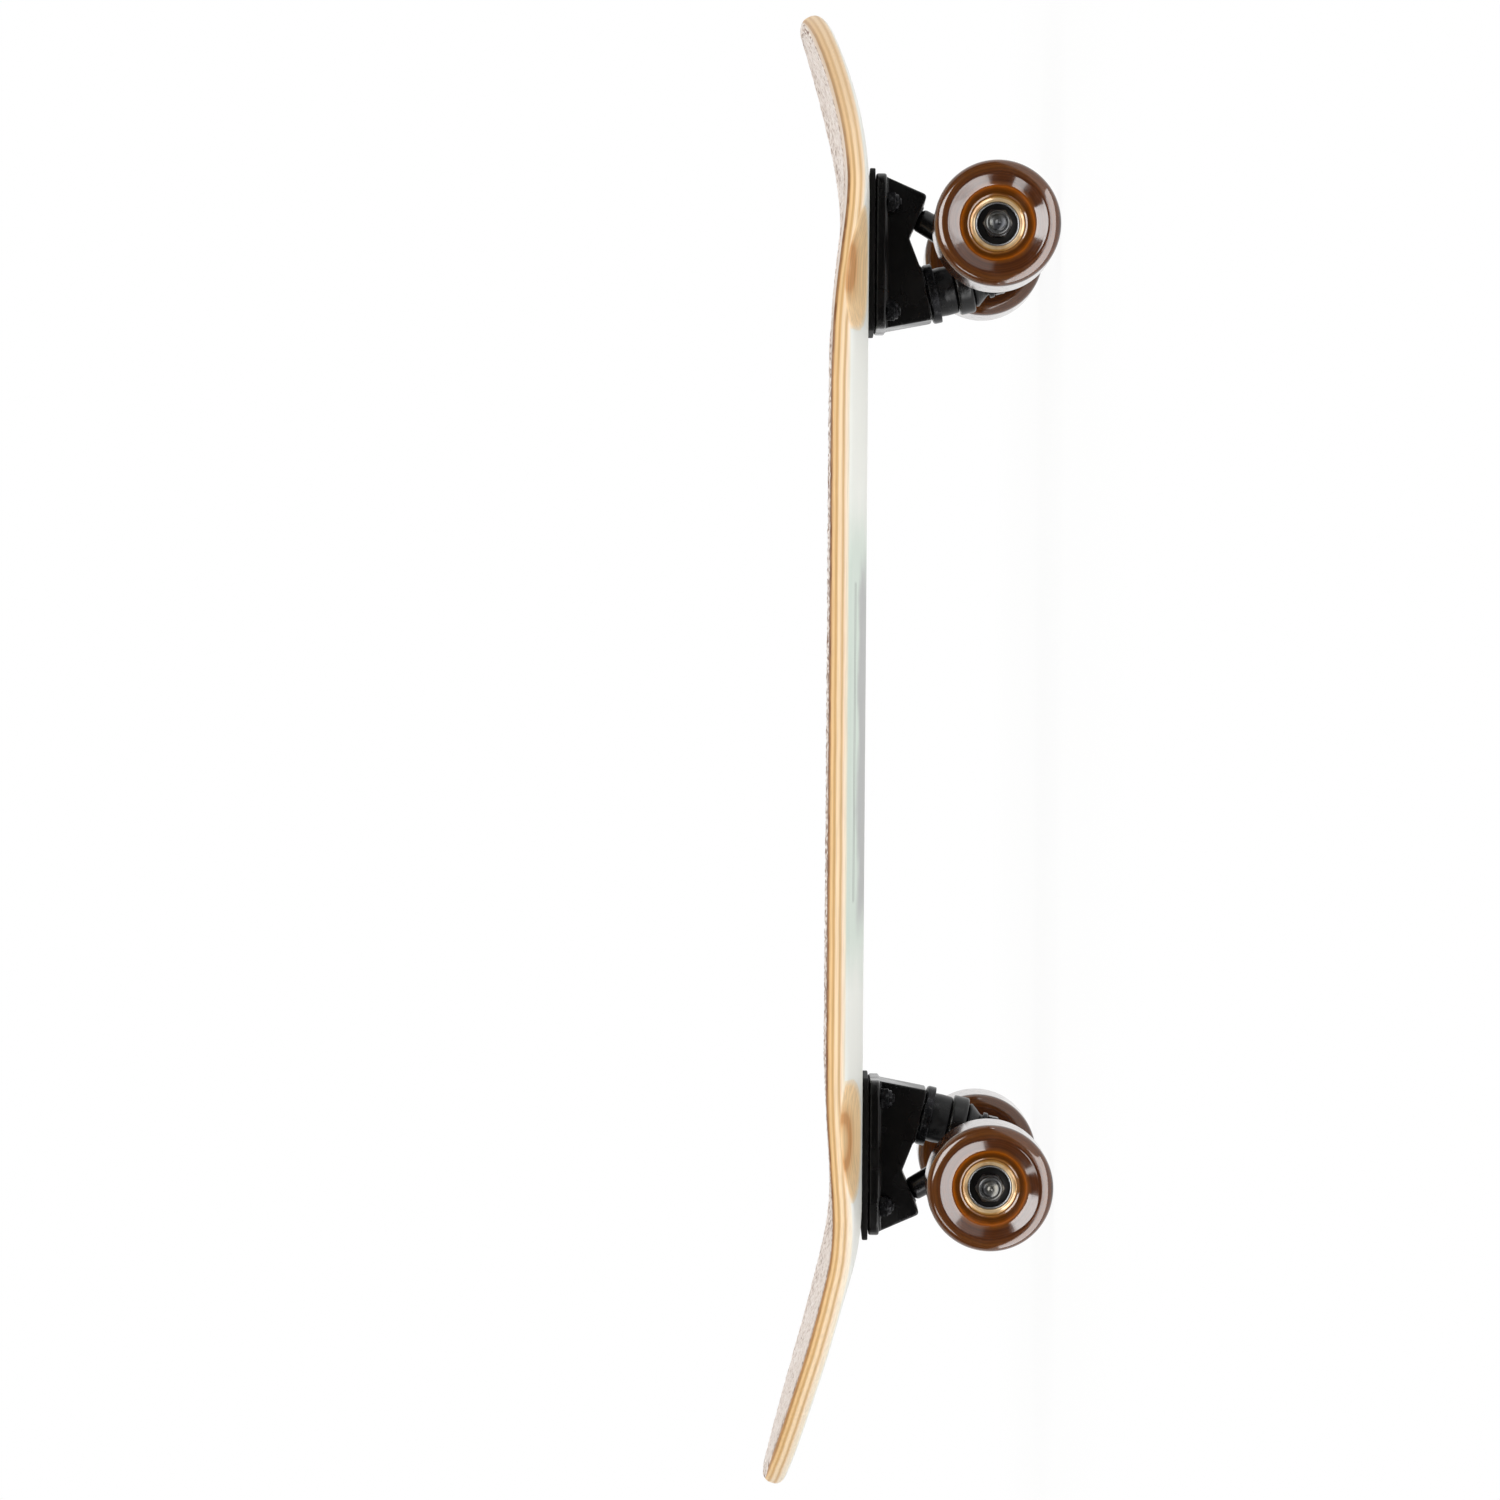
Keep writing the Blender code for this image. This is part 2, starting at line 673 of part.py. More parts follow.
def grip(finish):
    """The thin sheet of grit on the deck, open round each bolt's head."""
    inset = EDGE_ROUND + GRIP_MARGIN
    low = DECK_THICKNESS + SEAT_GAP
    body = mesh_object("grip", board_sheet([(inset, low + GRIP_THICKNESS), (inset, low)]))
    for truck_x in (FRONT_X, REAR_X):
        for x, y in hole_places():
            reach = BOLT_HEAD_RADIUS + 2 * BOLT_CLEARANCE
            hole = turned([(reach, -DECK_THICKNESS), (reach, DECK_THICKNESS)], BOLT_FACETS)
            combine(body, moved(hole, Matrix.Translation((truck_x + x, y, DECK_TOP))), "DIFFERENCE")
    return finished(body, finish)


# Truck pieces that stay with the deck


def bolt_hole(x, y):
    """A straight bolt hole through everything under the deck."""
    reach = BOLT_RADIUS + BOLT_CLEARANCE
    hole = turned([(reach, -THROUGH_CUT), (reach, THROUGH_CUT)], BOLT_FACETS)
    return moved(hole, Matrix.Translation((x, y, 0)))


def riser_pad(name, finish, truck):
    """The rubber pad between the deck and the baseplate."""
    low = SEAT_GAP
    body = mesh_object(name, rounded_plate(-RISER_INBOARD, RISER_OUTBOARD, RISER_WIDTH, RISER_CORNER,
                                           low + RISER_THICKNESS, low))
    for x, y in hole_places():
        combine(body, bolt_hole(x, y), "DIFFERENCE")
    return finished(body, finish, truck)


def baseplate(name, finish, truck):
    """The cast baseplate: a flange, the kingpin's seat block, a web and the pivot block."""
    body = mesh_object(name, rounded_plate(-PLATE_INBOARD, PLATE_OUTBOARD, PLATE_WIDTH, PLATE_CORNER,
                                           0, -PLATE_THICKNESS))
    half_seat = SEAT_LENGTH / 2
    seat_fall = half_seat * math.sin(KINGPIN_TILT)
    seat_run = half_seat * math.cos(KINGPIN_TILT)
    seat_in = (SEAT_OUT - seat_run, SEAT_DOWN + seat_fall)
    seat_out = (SEAT_OUT + seat_run, SEAT_DOWN - seat_fall)
    inside = PLATE_THICKNESS / 2
    seat_block = [(seat_in[0] - SEAT_ROOT_IN, inside), seat_in, seat_out,
                  (seat_out[0] + SEAT_ROOT_OUT, inside)]
    combine(body, prism(seat_block, SEAT_WIDTH / 2 + BLOCK_DRAFT * SEAT_DOWN, BLOCK_DRAFT), "UNION")

    mouth = PIVOT_TIP + PIVOT_LINE * PIVOT_MOUTH
    face_run = PIVOT_FACE / 2 * math.cos(PIVOT_TILT)
    face_fall = PIVOT_FACE / 2 * math.sin(PIVOT_TILT)
    mouth_in = (mouth.x - face_run, -mouth.z - face_fall)
    mouth_out = (mouth.x + face_run, -mouth.z + face_fall)
    pivot_block = [(mouth_in[0] - PIVOT_ROOT_IN, inside), mouth_in, mouth_out,
                   (mouth_out[0] + PIVOT_CHIN, mouth_out[1] - PIVOT_CHIN_RISE),
                   (PLATE_OUTBOARD - PIVOT_ROOT_MARGIN, inside)]
    combine(body, prism(pivot_block, PIVOT_BLOCK_WIDTH / 2 + BLOCK_DRAFT * PIVOT_DOWN, BLOCK_DRAFT),
            "UNION")

    web = [(SEAT_OUT, inside), (SEAT_OUT, SEAT_DOWN - WEB_INSET),
           (seat_out[0] - WEB_INSET, seat_out[1] - WEB_INSET), (NOTCH_OUT, NOTCH_DOWN),
           (mouth_in[0] + WEB_INSET, mouth_in[1] - WEB_INSET), (mouth.x, inside)]
    combine(body, prism(web, WEB_WIDTH / 2), "UNION")

    reach = KINGPIN_RADIUS + BOLT_CLEARANCE
    bore = turned([(reach, -SEAT_DOWN), (reach, SEAT_DOWN)], SMALL_FACETS)
    combine(body, moved(bore, KINGPIN_FRAME), "DIFFERENCE")
    reach = KINGPIN_FLATS / 2 / math.cos(math.pi / 6) + HEAD_POCKET_CLEARANCE
    pocket = turned([(reach, -KINGPIN_HEAD_DEPTH), (reach, -2 * SEAT_DOWN)], SMALL_FACETS)
    combine(body, moved(pocket, KINGPIN_FRAME), "DIFFERENCE")
    reach = cup_radius() + SEAT_GAP
    socket = turned([(reach, cup_bottom() - SEAT_GAP), (reach, 2 * PIVOT_MOUTH)], SMALL_FACETS)
    combine(body, moved(socket, PIVOT_FRAME), "DIFFERENCE")
    for x, y in hole_places():
        combine(body, bolt_hole(x, y), "DIFFERENCE")
    return finished(body, finish, truck)


def mounting_bolt(name, finish, truck, x, y):
    """A countersunk bolt, its head level with the deck's top."""
    nut_end = PLATE_THICKNESS + SEAT_GAP + NUT_HEIGHT
    bottom = -(DECK_TOP - TRUCK_Z) - nut_end - BOLT_PAST_NUT
    body = mesh_object(name, countersunk(0.0, 0.0, bottom))
    body.data.transform(Matrix.Translation((x, y, DECK_TOP - TRUCK_Z)))
    return finished(body, finish, truck, (x, y, 0))


def mounting_nut(name, finish, truck, x, y):
    """A lock nut under the baseplate's flange."""
    start = -PLATE_THICKNESS - SEAT_GAP - NUT_HEIGHT
    body = mesh_object(name, hexagonal(NUT_FLATS, NUT_HEIGHT, BOLT_RADIUS + BOLT_CLEARANCE, start))
    body.data.transform(Matrix.Translation((x, y, 0)))
    return finished(body, finish, truck, (x, y, 0))


def kingpin(name, finish, truck):
    """The kingpin bolt, its head let into the baseplate from above."""
    head_start = -KINGPIN_HEAD_DEPTH - SEAT_GAP - KINGPIN_HEAD
    body = mesh_object(name, moved(hexagonal(KINGPIN_FLATS, KINGPIN_HEAD, start=head_start), KINGPIN_FRAME))
    shank = turned([(KINGPIN_RADIUS, head_start + KINGPIN_HEAD / 2), (KINGPIN_RADIUS, KINGPIN_END)],
                   AXLE_FACETS)
    combine(body, moved(shank, KINGPIN_FRAME), "UNION")
    return finished(body, finish, truck)


def on_kingpin(name, finish, truck, profile, facets=STACK_FACETS):
    """A ring turned about the kingpin, its profile in heights from the seat."""
    return finished(mesh_object(name, moved(turned(profile, facets, ring=True), KINGPIN_FRAME)),
                    finish, truck)


def kingpin_stack(prefix, finishes, truck):
    """The cup washers, bushings and nut round the kingpin."""
    bore = KINGPIN_RADIUS + BOLT_CLEARANCE
    plate_end = SEAT_GAP + WASHER_PLATE
    on_kingpin(prefix + "board_cup_washer", finishes["black_steel"], truck,
               [(bore, SEAT_GAP), (BOARD_WASHER_RADIUS, SEAT_GAP), (BOARD_WASHER_RADIUS, BOARD_WASHER_LIP),
                (BOARD_WASHER_RADIUS - WASHER_WALL, BOARD_WASHER_LIP),
                (BOARD_WASHER_RADIUS - WASHER_WALL, plate_end), (bore, plate_end)])
    spigot = RING_BORE - SEAT_GAP
    barrel_end = RING_START - SEAT_GAP
    on_kingpin(prefix + "barrel_bushing", finishes["bushing"], truck,
               [(bore, plate_end + SEAT_GAP), (BUSHING_RADIUS, plate_end + SEAT_GAP),
                (BUSHING_RADIUS, barrel_end), (spigot, barrel_end),
                (spigot, RING_START + SPIGOT_LENGTH), (bore, RING_START + SPIGOT_LENGTH)])
    cup_end = CONE_END - ROAD_WASHER_LIP
    on_kingpin(prefix + "cone_bushing", finishes["bushing"], truck,
               [(bore, RING_END - SPIGOT_LENGTH), (spigot, RING_END - SPIGOT_LENGTH),
                (spigot, CONE_START), (BUSHING_RADIUS, CONE_START),
                (CONE_END_RADIUS, cup_end), (CONE_END_RADIUS, CONE_END), (bore, CONE_END)])
    washer_end = ROAD_WASHER_START + WASHER_PLATE
    lip = CONE_END_RADIUS + SEAT_GAP
    on_kingpin(prefix + "road_cup_washer", finishes["black_steel"], truck,
               [(bore, ROAD_WASHER_START), (lip, ROAD_WASHER_START),
                (lip, ROAD_WASHER_START - ROAD_WASHER_LIP / 2),
                (ROAD_WASHER_RADIUS, ROAD_WASHER_START - ROAD_WASHER_LIP / 2),
                (ROAD_WASHER_RADIUS, washer_end), (bore, washer_end)], SMALL_FACETS)
    nut = hexagonal(KINGPIN_FLATS, KINGPIN_NUT_HEIGHT, bore, KINGPIN_NUT_START)
    finished(mesh_object(prefix + "kingpin_nut", moved(nut, KINGPIN_FRAME)), finishes["black_steel"], truck)


def cup_radius():
    """The pivot cup's outer radius, from the pin and the cup's wall."""
    return PIVOT_PIN_RADIUS + SEAT_GAP + PIVOT_CUP_WALL


def cup_bottom():
    """Where the pivot cup's closed end lies, before the pin's tip."""
    return -PIVOT_PIN_RADIUS - SEAT_GAP - PIVOT_CUP_WALL


def pivot_cup(name, finish, truck):
    """The urethane cup that holds the hanger's pivot in the baseplate."""
    inner = PIVOT_PIN_RADIUS + SEAT_GAP
    outer = cup_radius()
    face = PIVOT_MOUTH + SEAT_GAP
    lip = face + PIVOT_CUP_FLANGE
    profile = [(outer, cup_bottom()), (outer, face), (PIVOT_CUP_FLANGE_RADIUS, face),
               (PIVOT_CUP_FLANGE_RADIUS, lip), (inner + PIVOT_CUP_MOUTH, lip), (inner, 0)]
    profile += [(inner * thick, -inner * past) for past, thick in PIVOT_END]
    body = mesh_object(name, moved(turned(profile, AXLE_FACETS, phase=0), PIVOT_FRAME))
    return finished(body, finish, truck)


# Truck pieces that steer


def hanger(name, finish, steer, origin):
    """The cast hanger: axle beam, kingpin ring, the yoke between them and the pivot arm."""
    half = HANGER_WIDTH / 2
    beam = [(BEAM_END_RADIUS, -half), (BEAM_END_RADIUS + BEAM_END_FLARE, BEAM_END_LENGTH - half),
            (BEAM_RADIUS, BEAM_TAPER_LENGTH - half)]
    beam += [(radius, -height) for radius, height in beam[::-1]]
    across = Matrix.Translation(AXLE_POINT) @ Matrix.Rotation(math.pi / 2, 4, "X")
    body = mesh_object(name, moved(turned(beam, SMALL_FACETS), across))

    ring = turned([(RING_RADIUS, RING_START), (RING_RADIUS, RING_END)], STACK_FACETS)
    combine(body, moved(ring, KINGPIN_FRAME), "UNION")

    to_axle = KINGPIN_FRAME.inverted() @ AXLE_POINT
    way = 1 if to_axle.x > 0 else -1
    near_x = way * (RING_BORE + RING_RADIUS) / 2
    far_x = to_axle.x + way * YOKE_PAST_AXLE
    root = YOKE_ROOT_WIDTH / 2
    wide = YOKE_WIDTH / 2
    low = to_axle.z - BEAM_RADIUS * YOKE_LOW_SHARE
    high = to_axle.z + BEAM_RADIUS * YOKE_HIGH_SHARE
    top = RING_START + YOKE_ROOT_STEP
    middle = RING_START + RING_THICKNESS / 2
    near = [(near_x, -root, top), (near_x, root, top), (near_x, root, middle), (near_x, -root, middle)]
    far = [(far_x, -wide, low), (far_x, wide, low), (far_x, wide, high), (far_x, -wide, high)]
    combine(body, moved(wedge(near, far), KINGPIN_FRAME), "UNION")

    elbow = PIVOT_TIP + PIVOT_LINE * PIVOT_ARM_STRAIGHT
    arm = [(PIVOT_TIP - PIVOT_LINE * PIVOT_PIN_RADIUS * past, PIVOT_PIN_RADIUS * thick)
           for past, thick in PIVOT_END[::-1]]
    arm += [(PIVOT_TIP, PIVOT_PIN_RADIUS), (PIVOT_TIP + PIVOT_LINE * PIVOT_MOUTH, PIVOT_PIN_ROOT_RADIUS),
            (PIVOT_TIP + PIVOT_LINE * (PIVOT_MOUTH + PIVOT_SHOULDER), PIVOT_SHOULDER_RADIUS),
            (elbow, PIVOT_ARM_RADIUS), (elbow.lerp(AXLE_POINT, 0.5), PIVOT_ARM_MIDDLE_RADIUS),
            (AXLE_POINT, PIVOT_ARM_ROOT_RADIUS)]
    combine(body, swept(arm, AXLE_FACETS), "UNION")

    bore = turned([(RING_BORE, RING_START - RING_CUT_ABOVE), (RING_BORE, RING_END + RING_CUT_BELOW)],
                  STACK_FACETS)
    combine(body, moved(bore, KINGPIN_FRAME), "DIFFERENCE")
    reach = AXLE_RADIUS + SEAT_GAP
    bore = turned([(reach, -HANGER_WIDTH), (reach, HANGER_WIDTH)], SMALL_FACETS)
    combine(body, moved(bore, across), "DIFFERENCE")
    return finished(body, finish, steer, origin)


def on_axle(y, side=1):
    """The frame of a piece on the axle, its Z pointing to one side of the board."""
    return Matrix.Translation(AXLE_POINT + Vector((0, side * y, 0))) @ Matrix.Rotation(
        -side * math.pi / 2, 4, "X")


def axle(name, finish, steer, origin):
    """The axle through the hanger, with its inner speed washers."""
    end = WASHER_START + SPEED_WASHER
    half = [(SPEED_WASHER_RADIUS, WASHER_START), (SPEED_WASHER_RADIUS, end), (AXLE_RADIUS, end),
            (AXLE_RADIUS, AXLE_END)]
    profile = [(radius, -height) for radius, height in half[::-1]]
    profile += [(AXLE_RADIUS, -WASHER_START), (AXLE_RADIUS, WASHER_START)] + half
    body = mesh_object(name, moved(turned(profile, AXLE_FACETS), on_axle(0)))
    return finished(body, finish, steer, origin)


def axle_nut(name, finish, steer, origin, side):
    """The axle nut with the outer speed washer under it."""
    bore = AXLE_RADIUS + BOLT_CLEARANCE
    body = mesh_object(name, moved(hexagonal(AXLE_NUT_FLATS, AXLE_NUT_HEIGHT, bore,
                                             SPEED_WASHER), on_axle(AXLE_NUT_START, side)))
    washer = turned([(bore, 0), (SPEED_WASHER_RADIUS, 0), (SPEED_WASHER_RADIUS, 2 * SPEED_WASHER),
                     (bore, 2 * SPEED_WASHER)], AXLE_FACETS, ring=True, phase=0)
    combine(body, moved(washer, on_axle(AXLE_NUT_START, side)), "UNION")
    return finished(body, finish, steer, origin)


def bearing_spacer(name, finish, steer, origin, side):
    """The two inner races and the spacer between them, clamped on the axle."""
    bore = AXLE_RADIUS + BOLT_CLEARANCE
    far = STACK_LENGTH
    profile = [(bore, 0), (INNER_RACE_RADIUS, 0), (INNER_RACE_RADIUS, BEARING_WIDTH),
               (SPACER_RADIUS, BEARING_WIDTH), (SPACER_RADIUS, far - BEARING_WIDTH),
               (INNER_RACE_RADIUS, far - BEARING_WIDTH), (INNER_RACE_RADIUS, far), (bore, far)]
    body = mesh_object(name, moved(turned(profile, AXLE_FACETS, ring=True), on_axle(STACK_START, side)))
    return finished(body, finish, steer, origin)


# Pieces that roll


def bearing(name, finish, hub, origin, side, start, outward):
    """The outer race and shield of a bearing; the shield is let in on its outward face."""
    inner = INNER_RACE_RADIUS + RUNNING_CLEARANCE
    wall = BEARING_RADIUS - RACE_WALL
    profile = [(inner, SHIELD_RECESS), (wall, SHIELD_RECESS), (wall, 0), (BEARING_RADIUS, 0),
               (BEARING_RADIUS, BEARING_WIDTH), (inner, BEARING_WIDTH)]
    if outward:
        profile = [(radius, BEARING_WIDTH - height) for radius, height in profile]
    body = mesh_object(name, moved(turned(profile, SMALL_FACETS, ring=True), on_axle(start, side)))
    return finished(body, finish, hub, origin)


def wheel(name, finish, hub, origin, side):
    """The cast wheel: a rounded lip, a dish and the seats for two bearings."""
    half = WHEEL_WIDTH / 2
    true_radius = WHEEL_RADIUS / math.cos(math.pi / WHEEL_FACETS)
    seat = BEARING_RADIUS + SEAT_GAP
    core_end = STACK_LENGTH / 2 + CORE_PAST_BEARING
    shoulder = SPACER_LENGTH / 2 - SEAT_GAP
    part_way = WHEEL_LIP * (1 - math.sqrt(0.5))
    outside = [(seat, shoulder), (seat, core_end), (CORE_END_RADIUS, core_end + CORE_RISE),
               (WHEEL_DISH_RADIUS, half - WHEEL_DISH_DEPTH), (true_radius - WHEEL_LIP, half),
               (true_radius - part_way, half - part_way), (true_radius, half - WHEEL_LIP)]
    profile = [(seat - CORE_SHOULDER, shoulder)] + outside
    profile += [(radius, -height) for radius, height in profile[::-1]]
    body = mesh_object(name, moved(turned(profile, WHEEL_FACETS, ring=True), on_axle(WHEEL_Y, side)))
    return finished(body, finish, hub, origin)


# Assembly


def truck(end, place, turn, finishes):
    """A whole truck with its mounting hardware and its two wheels."""
    base = empty(end + "_truck", (place, 0, TRUCK_Z), turn)
    riser_pad(end + "_riser_pad", finishes["rubber"], base)
    baseplate(end + "_baseplate", finishes["paint"], base)
    for number, (x, y) in enumerate(hole_places(), 1):
        mounting_bolt(f"{end}_mounting_bolt_{number}", finishes["black_steel"], base, x, y)
        mounting_nut(f"{end}_mounting_nut_{number}", finishes["black_steel"], base, x, y)
    kingpin(end + "_kingpin", finishes["black_steel"], base)
    kingpin_stack(end + "_", finishes, base)
    pivot_cup(end + "_pivot_cup", finishes["bushing"], base)

    steer = empty(end + "_steer_axis", RING_POINT, parent=base)
    steer_frame = Matrix.Translation(-RING_POINT)
    pieces = [hanger(end + "_hanger", finishes["paint"], steer, (0, 0, 0)),
              axle(end + "_axle", finishes["steel"], steer, (0, 0, 0))]
    # Facing the nose, +Y is the rider's left; the rear truck is the front one turned round
    for side in (1, -1):
        hand = "left" if (side > 0) == (turn == 0) else "right"
        prefix = f"{end}_{hand}_"
        pieces.append(axle_nut(prefix + "axle_nut", finishes["steel"], steer, (0, 0, 0), side))
        pieces.append(bearing_spacer(prefix + "bearing_spacer", finishes["steel"], steer, (0, 0, 0), side))
        hub_point = AXLE_POINT + Vector((0, side * WHEEL_Y, 0))
        pieces.append(wheel(prefix + "wheel", finishes["urethane"], steer, hub_point, side))
        pieces.append(bearing(prefix + "inner_bearing", finishes["shield"], steer, hub_point, side,
                              STACK_START, False))
        pieces.append(bearing(prefix + "outer_bearing", finishes["shield"], steer, hub_point, side,
                              STACK_START + BEARING_WIDTH + SPACER_LENGTH, True))
    for piece in pieces:
        piece.location = steer_frame @ piece.location


def main():
    """Clear the scene and build the whole board."""
    for old in list(bpy.data.objects):
        bpy.data.objects.remove(old)
    finishes = materials()
    deck(finishes["maple"])
    grip(finishes["grip"])
    truck("front", FRONT_X, 0.0, finishes)
    truck("rear", REAR_X, math.pi, finishes)


main()
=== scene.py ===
"""Cruiser skateboard, dressed: the fine pieces, their finishes and a plain studio over the packed model.

Outlines are in millimetres and places in metres. A truck's frame has x outboard from its bolt
pattern, y across and z up from its mounting face, as in the solid model.
"""
import math
from functools import partial

import bmesh
import bpy
import numpy as np
from bpy.props import FloatProperty, FloatVectorProperty, PointerProperty
from mathutils import Matrix, Vector


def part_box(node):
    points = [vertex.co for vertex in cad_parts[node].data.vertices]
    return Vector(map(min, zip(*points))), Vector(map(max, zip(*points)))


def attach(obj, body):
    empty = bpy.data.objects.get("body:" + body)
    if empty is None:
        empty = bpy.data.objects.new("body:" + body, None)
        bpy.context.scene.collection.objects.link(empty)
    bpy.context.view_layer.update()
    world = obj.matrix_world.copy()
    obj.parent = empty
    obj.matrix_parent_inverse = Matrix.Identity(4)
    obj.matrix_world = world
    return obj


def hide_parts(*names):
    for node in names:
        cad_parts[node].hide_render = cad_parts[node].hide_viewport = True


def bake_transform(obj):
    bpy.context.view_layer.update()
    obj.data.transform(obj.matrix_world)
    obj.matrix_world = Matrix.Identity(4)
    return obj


bl_info = {
    "name": "Cruiser skateboard",
    "version": (1, 0, 0),
    "blender": (4, 5, 0),
    "location": "3D View > Sidebar > Skateboard",
    "description": "Fine pieces, finishes and studio for a cruiser skateboard",
    "category": "Object",
}

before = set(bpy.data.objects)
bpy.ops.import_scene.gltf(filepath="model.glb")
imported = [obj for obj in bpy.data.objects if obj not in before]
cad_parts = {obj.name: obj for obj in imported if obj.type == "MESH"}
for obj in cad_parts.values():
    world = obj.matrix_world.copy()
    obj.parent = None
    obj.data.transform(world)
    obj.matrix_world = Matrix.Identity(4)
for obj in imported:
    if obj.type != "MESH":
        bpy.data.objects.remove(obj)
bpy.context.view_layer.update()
MM = 0.001

# Places read from the packed model, and two lengths in millimetres: from the bolt pattern to the
# baseplate's inboard end, and from the baseplate up to the deck
PLATE_LOW, PLATE_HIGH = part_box("front_baseplate")
_, REAR_PLATE_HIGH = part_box("rear_baseplate")
DECK_LOW, DECK_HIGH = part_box("deck")
_, WHEEL_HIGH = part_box("front_right_wheel")
PLATE_INBOARD, RISER = 36.0, 3.4
FRONT_X = PLATE_LOW.x + PLATE_INBOARD * MM
REAR_X = REAR_PLATE_HIGH.x - PLATE_INBOARD * MM
TRUCK_Z = PLATE_HIGH.z
DECK_BOTTOM = TRUCK_Z + RISER * MM
DECK_WIDTH = DECK_HIGH.y - DECK_LOW.y

# How the flat board is rounded and pressed, in metres and radians
NOSE_ROUND, TAIL_ROUND, END_FULLNESS = 0.088, 0.230, 2.05
NOSE_KICK_X, NOSE_KICK_RADIUS, NOSE_KICK_ANGLE = FRONT_X + 0.0255, 0.187, math.radians(28.5)
TAIL_KICK_X, TAIL_KICK_RADIUS, TAIL_KICK_ANGLE = REAR_X - 0.025, 0.117, math.radians(17.0)
EDGE_ROUND, TIP_ROUND_BELOW = 0.0032, 0.0045
FLAT_WIDTH = 0.060

# The rails' rise over the flat middle: at mid-board, and at the (nose, tail) trucks and kicks. It
# fades between three places counted outboard from a truck.
MIDDLE_CONCAVE = 0.0082
TRUCK_CONCAVE = (0.0024, 0.0054)
KICK_CONCAVE = (0.0045, 0.0015)
CONCAVE_FADE = (-0.041, 0.029, 0.110)

# The wheel wells: bowls whose middles lie inboard of the trucks and just inside the rails
WELL_LENGTH, WELL_WIDTH, WELL_BOWL = 0.060, 0.104, 0.018
WELL_OFFSET, WELL_FROM_RAIL, WELL_REACH, WELL_RIM = 0.013, 0.004, 0.034, 0.0003

# Mounting bolts on the standard pattern, and the radii of their holes and shanks, in millimetres
BOLT_PATTERN = (53.98, 41.3)
BOLT_PLACES = [(x * BOLT_PATTERN[0] / 2, y * BOLT_PATTERN[1] / 2) for x in (1, -1) for y in (1, -1)]
BOLT_HOLE, BOLT = 2.7, 2.4

# The truck's lines and, for the kingpin, its hole and the pivot's tip, radii, in millimetres
KINGPIN_TILT, PIVOT_TILT = math.radians(12.8), math.radians(30)
PLATE_THICKNESS = 5.4
SEAT_X, SEAT_DEPTH = -17.25, 26.2
KINGPIN_SEAT = Vector((SEAT_X, 0, -SEAT_DEPTH))
KINGPIN, KINGPIN_HOLE = 4.76, 5.06
KINGPIN_LINE = Vector((math.sin(KINGPIN_TILT), 0, -math.cos(KINGPIN_TILT)))
PIVOT_TIP = Vector((26.8, 0, -11.4))
PIVOT_LINE = Vector((-math.sin(PIVOT_TILT), 0, -math.cos(PIVOT_TILT)))
PIVOT_TIP_RADIUS, PIVOT_LEAN = 4.2, 0.125
AXLE_POINT = Vector((8.8, 0, -57.4))
HANGER_HALF = 69.5

# Along the axle from the truck's middle, in millimetres
STACK_START, STACK_LENGTH = 71.1, 24.0
AXLE_NUT_START, AXLE_END = 95.4, 103.5
WHEEL_MIDDLE = STACK_START + STACK_LENGTH / 2
BEARING_FACE, BEARING_WIDTH = 12.0, 7.0

# The photograph's camera, solved from the four wheel discs. Lines across the board meet at the
# vanishing point, counted in pixels right of and above the picture's middle.
PICTURE_PIXELS, FOCAL_PIXELS, SENSOR_WIDTH = 1500, 4493, 36
VANISHING_POINT = (55, 58.5)
CAMERA_ROLL = math.radians(0.43)
CAMERA_PLACE = (0.030403, -2.259843, 0.121324)


# Colours, sizes and looks that a user would change


def hex_linear(colour):
    """A linear colour from an sRGB hex value."""
    parts = [int(colour[i:i + 2], 16) / 255 for i in (1, 3, 5)]
    return tuple(c / 12.92 if c <= 0.04045 else ((c + 0.055) / 1.055) ** 2.4 for c in parts)


def colour_setting(name, description, colour):
    """A colour in a settings group, from an sRGB hex value."""
    return FloatVectorProperty(name=name, description=description, subtype="COLOR", size=3,
                               min=0, max=1, default=hex_linear(colour))


def length_setting(name, description, millimetres):
    """A length in a settings group."""
    return FloatProperty(name=name, description=description, unit="LENGTH", subtype="DISTANCE",
                         min=0, default=millimetres * MM, precision=5)


class BoardSettings(bpy.types.PropertyGroup):
    """Deck and grip."""

    thickness: length_setting("Deck thickness", "Thickness of the pressed deck", 10.5)
    top_round: length_setting("Top edge round", "Radius of the rail's upper edge", 1.8)
    tip_round: length_setting("Tip edge round", "Radius of the upper edge at the nose and tail", 4.2)
    grip_thickness: length_setting("Grip thickness", "Height of the grip over the deck", 0.45)
    grit_height: length_setting("Grit height", "How far single grains stand out of the grip", 0.45)
    grip_inset: length_setting("Grip inset", "How far the grip stops short of the rail", 2.4)
    nose_well: length_setting("Nose well depth", "Depth of the hollows over the nose wheels", 4.6)
    tail_well: length_setting("Tail well depth", "Depth of the hollows over the tail wheels", 3.6)
    pale_ply: colour_setting("Pale ply", "Maple plies laid along the board", "#ffe2bb")
    tan_ply: colour_setting("Tan ply", "Maple plies laid across the board", "#dbac70")
    top_ply: colour_setting("Top ply", "The darker ply under the grip", "#a07243")
    paint: colour_setting("Underside", "The underside's paint", "#e9eae5")
    mint: colour_setting("Underside panel", "The pale panel between the trucks", "#cfdad1")
    grey: colour_setting("Underside middle", "The soft grey down the panel's middle", "#adaeae")
    grit: colour_setting("Grip", "Clear grit over the stained top ply", "#e5d8ce")


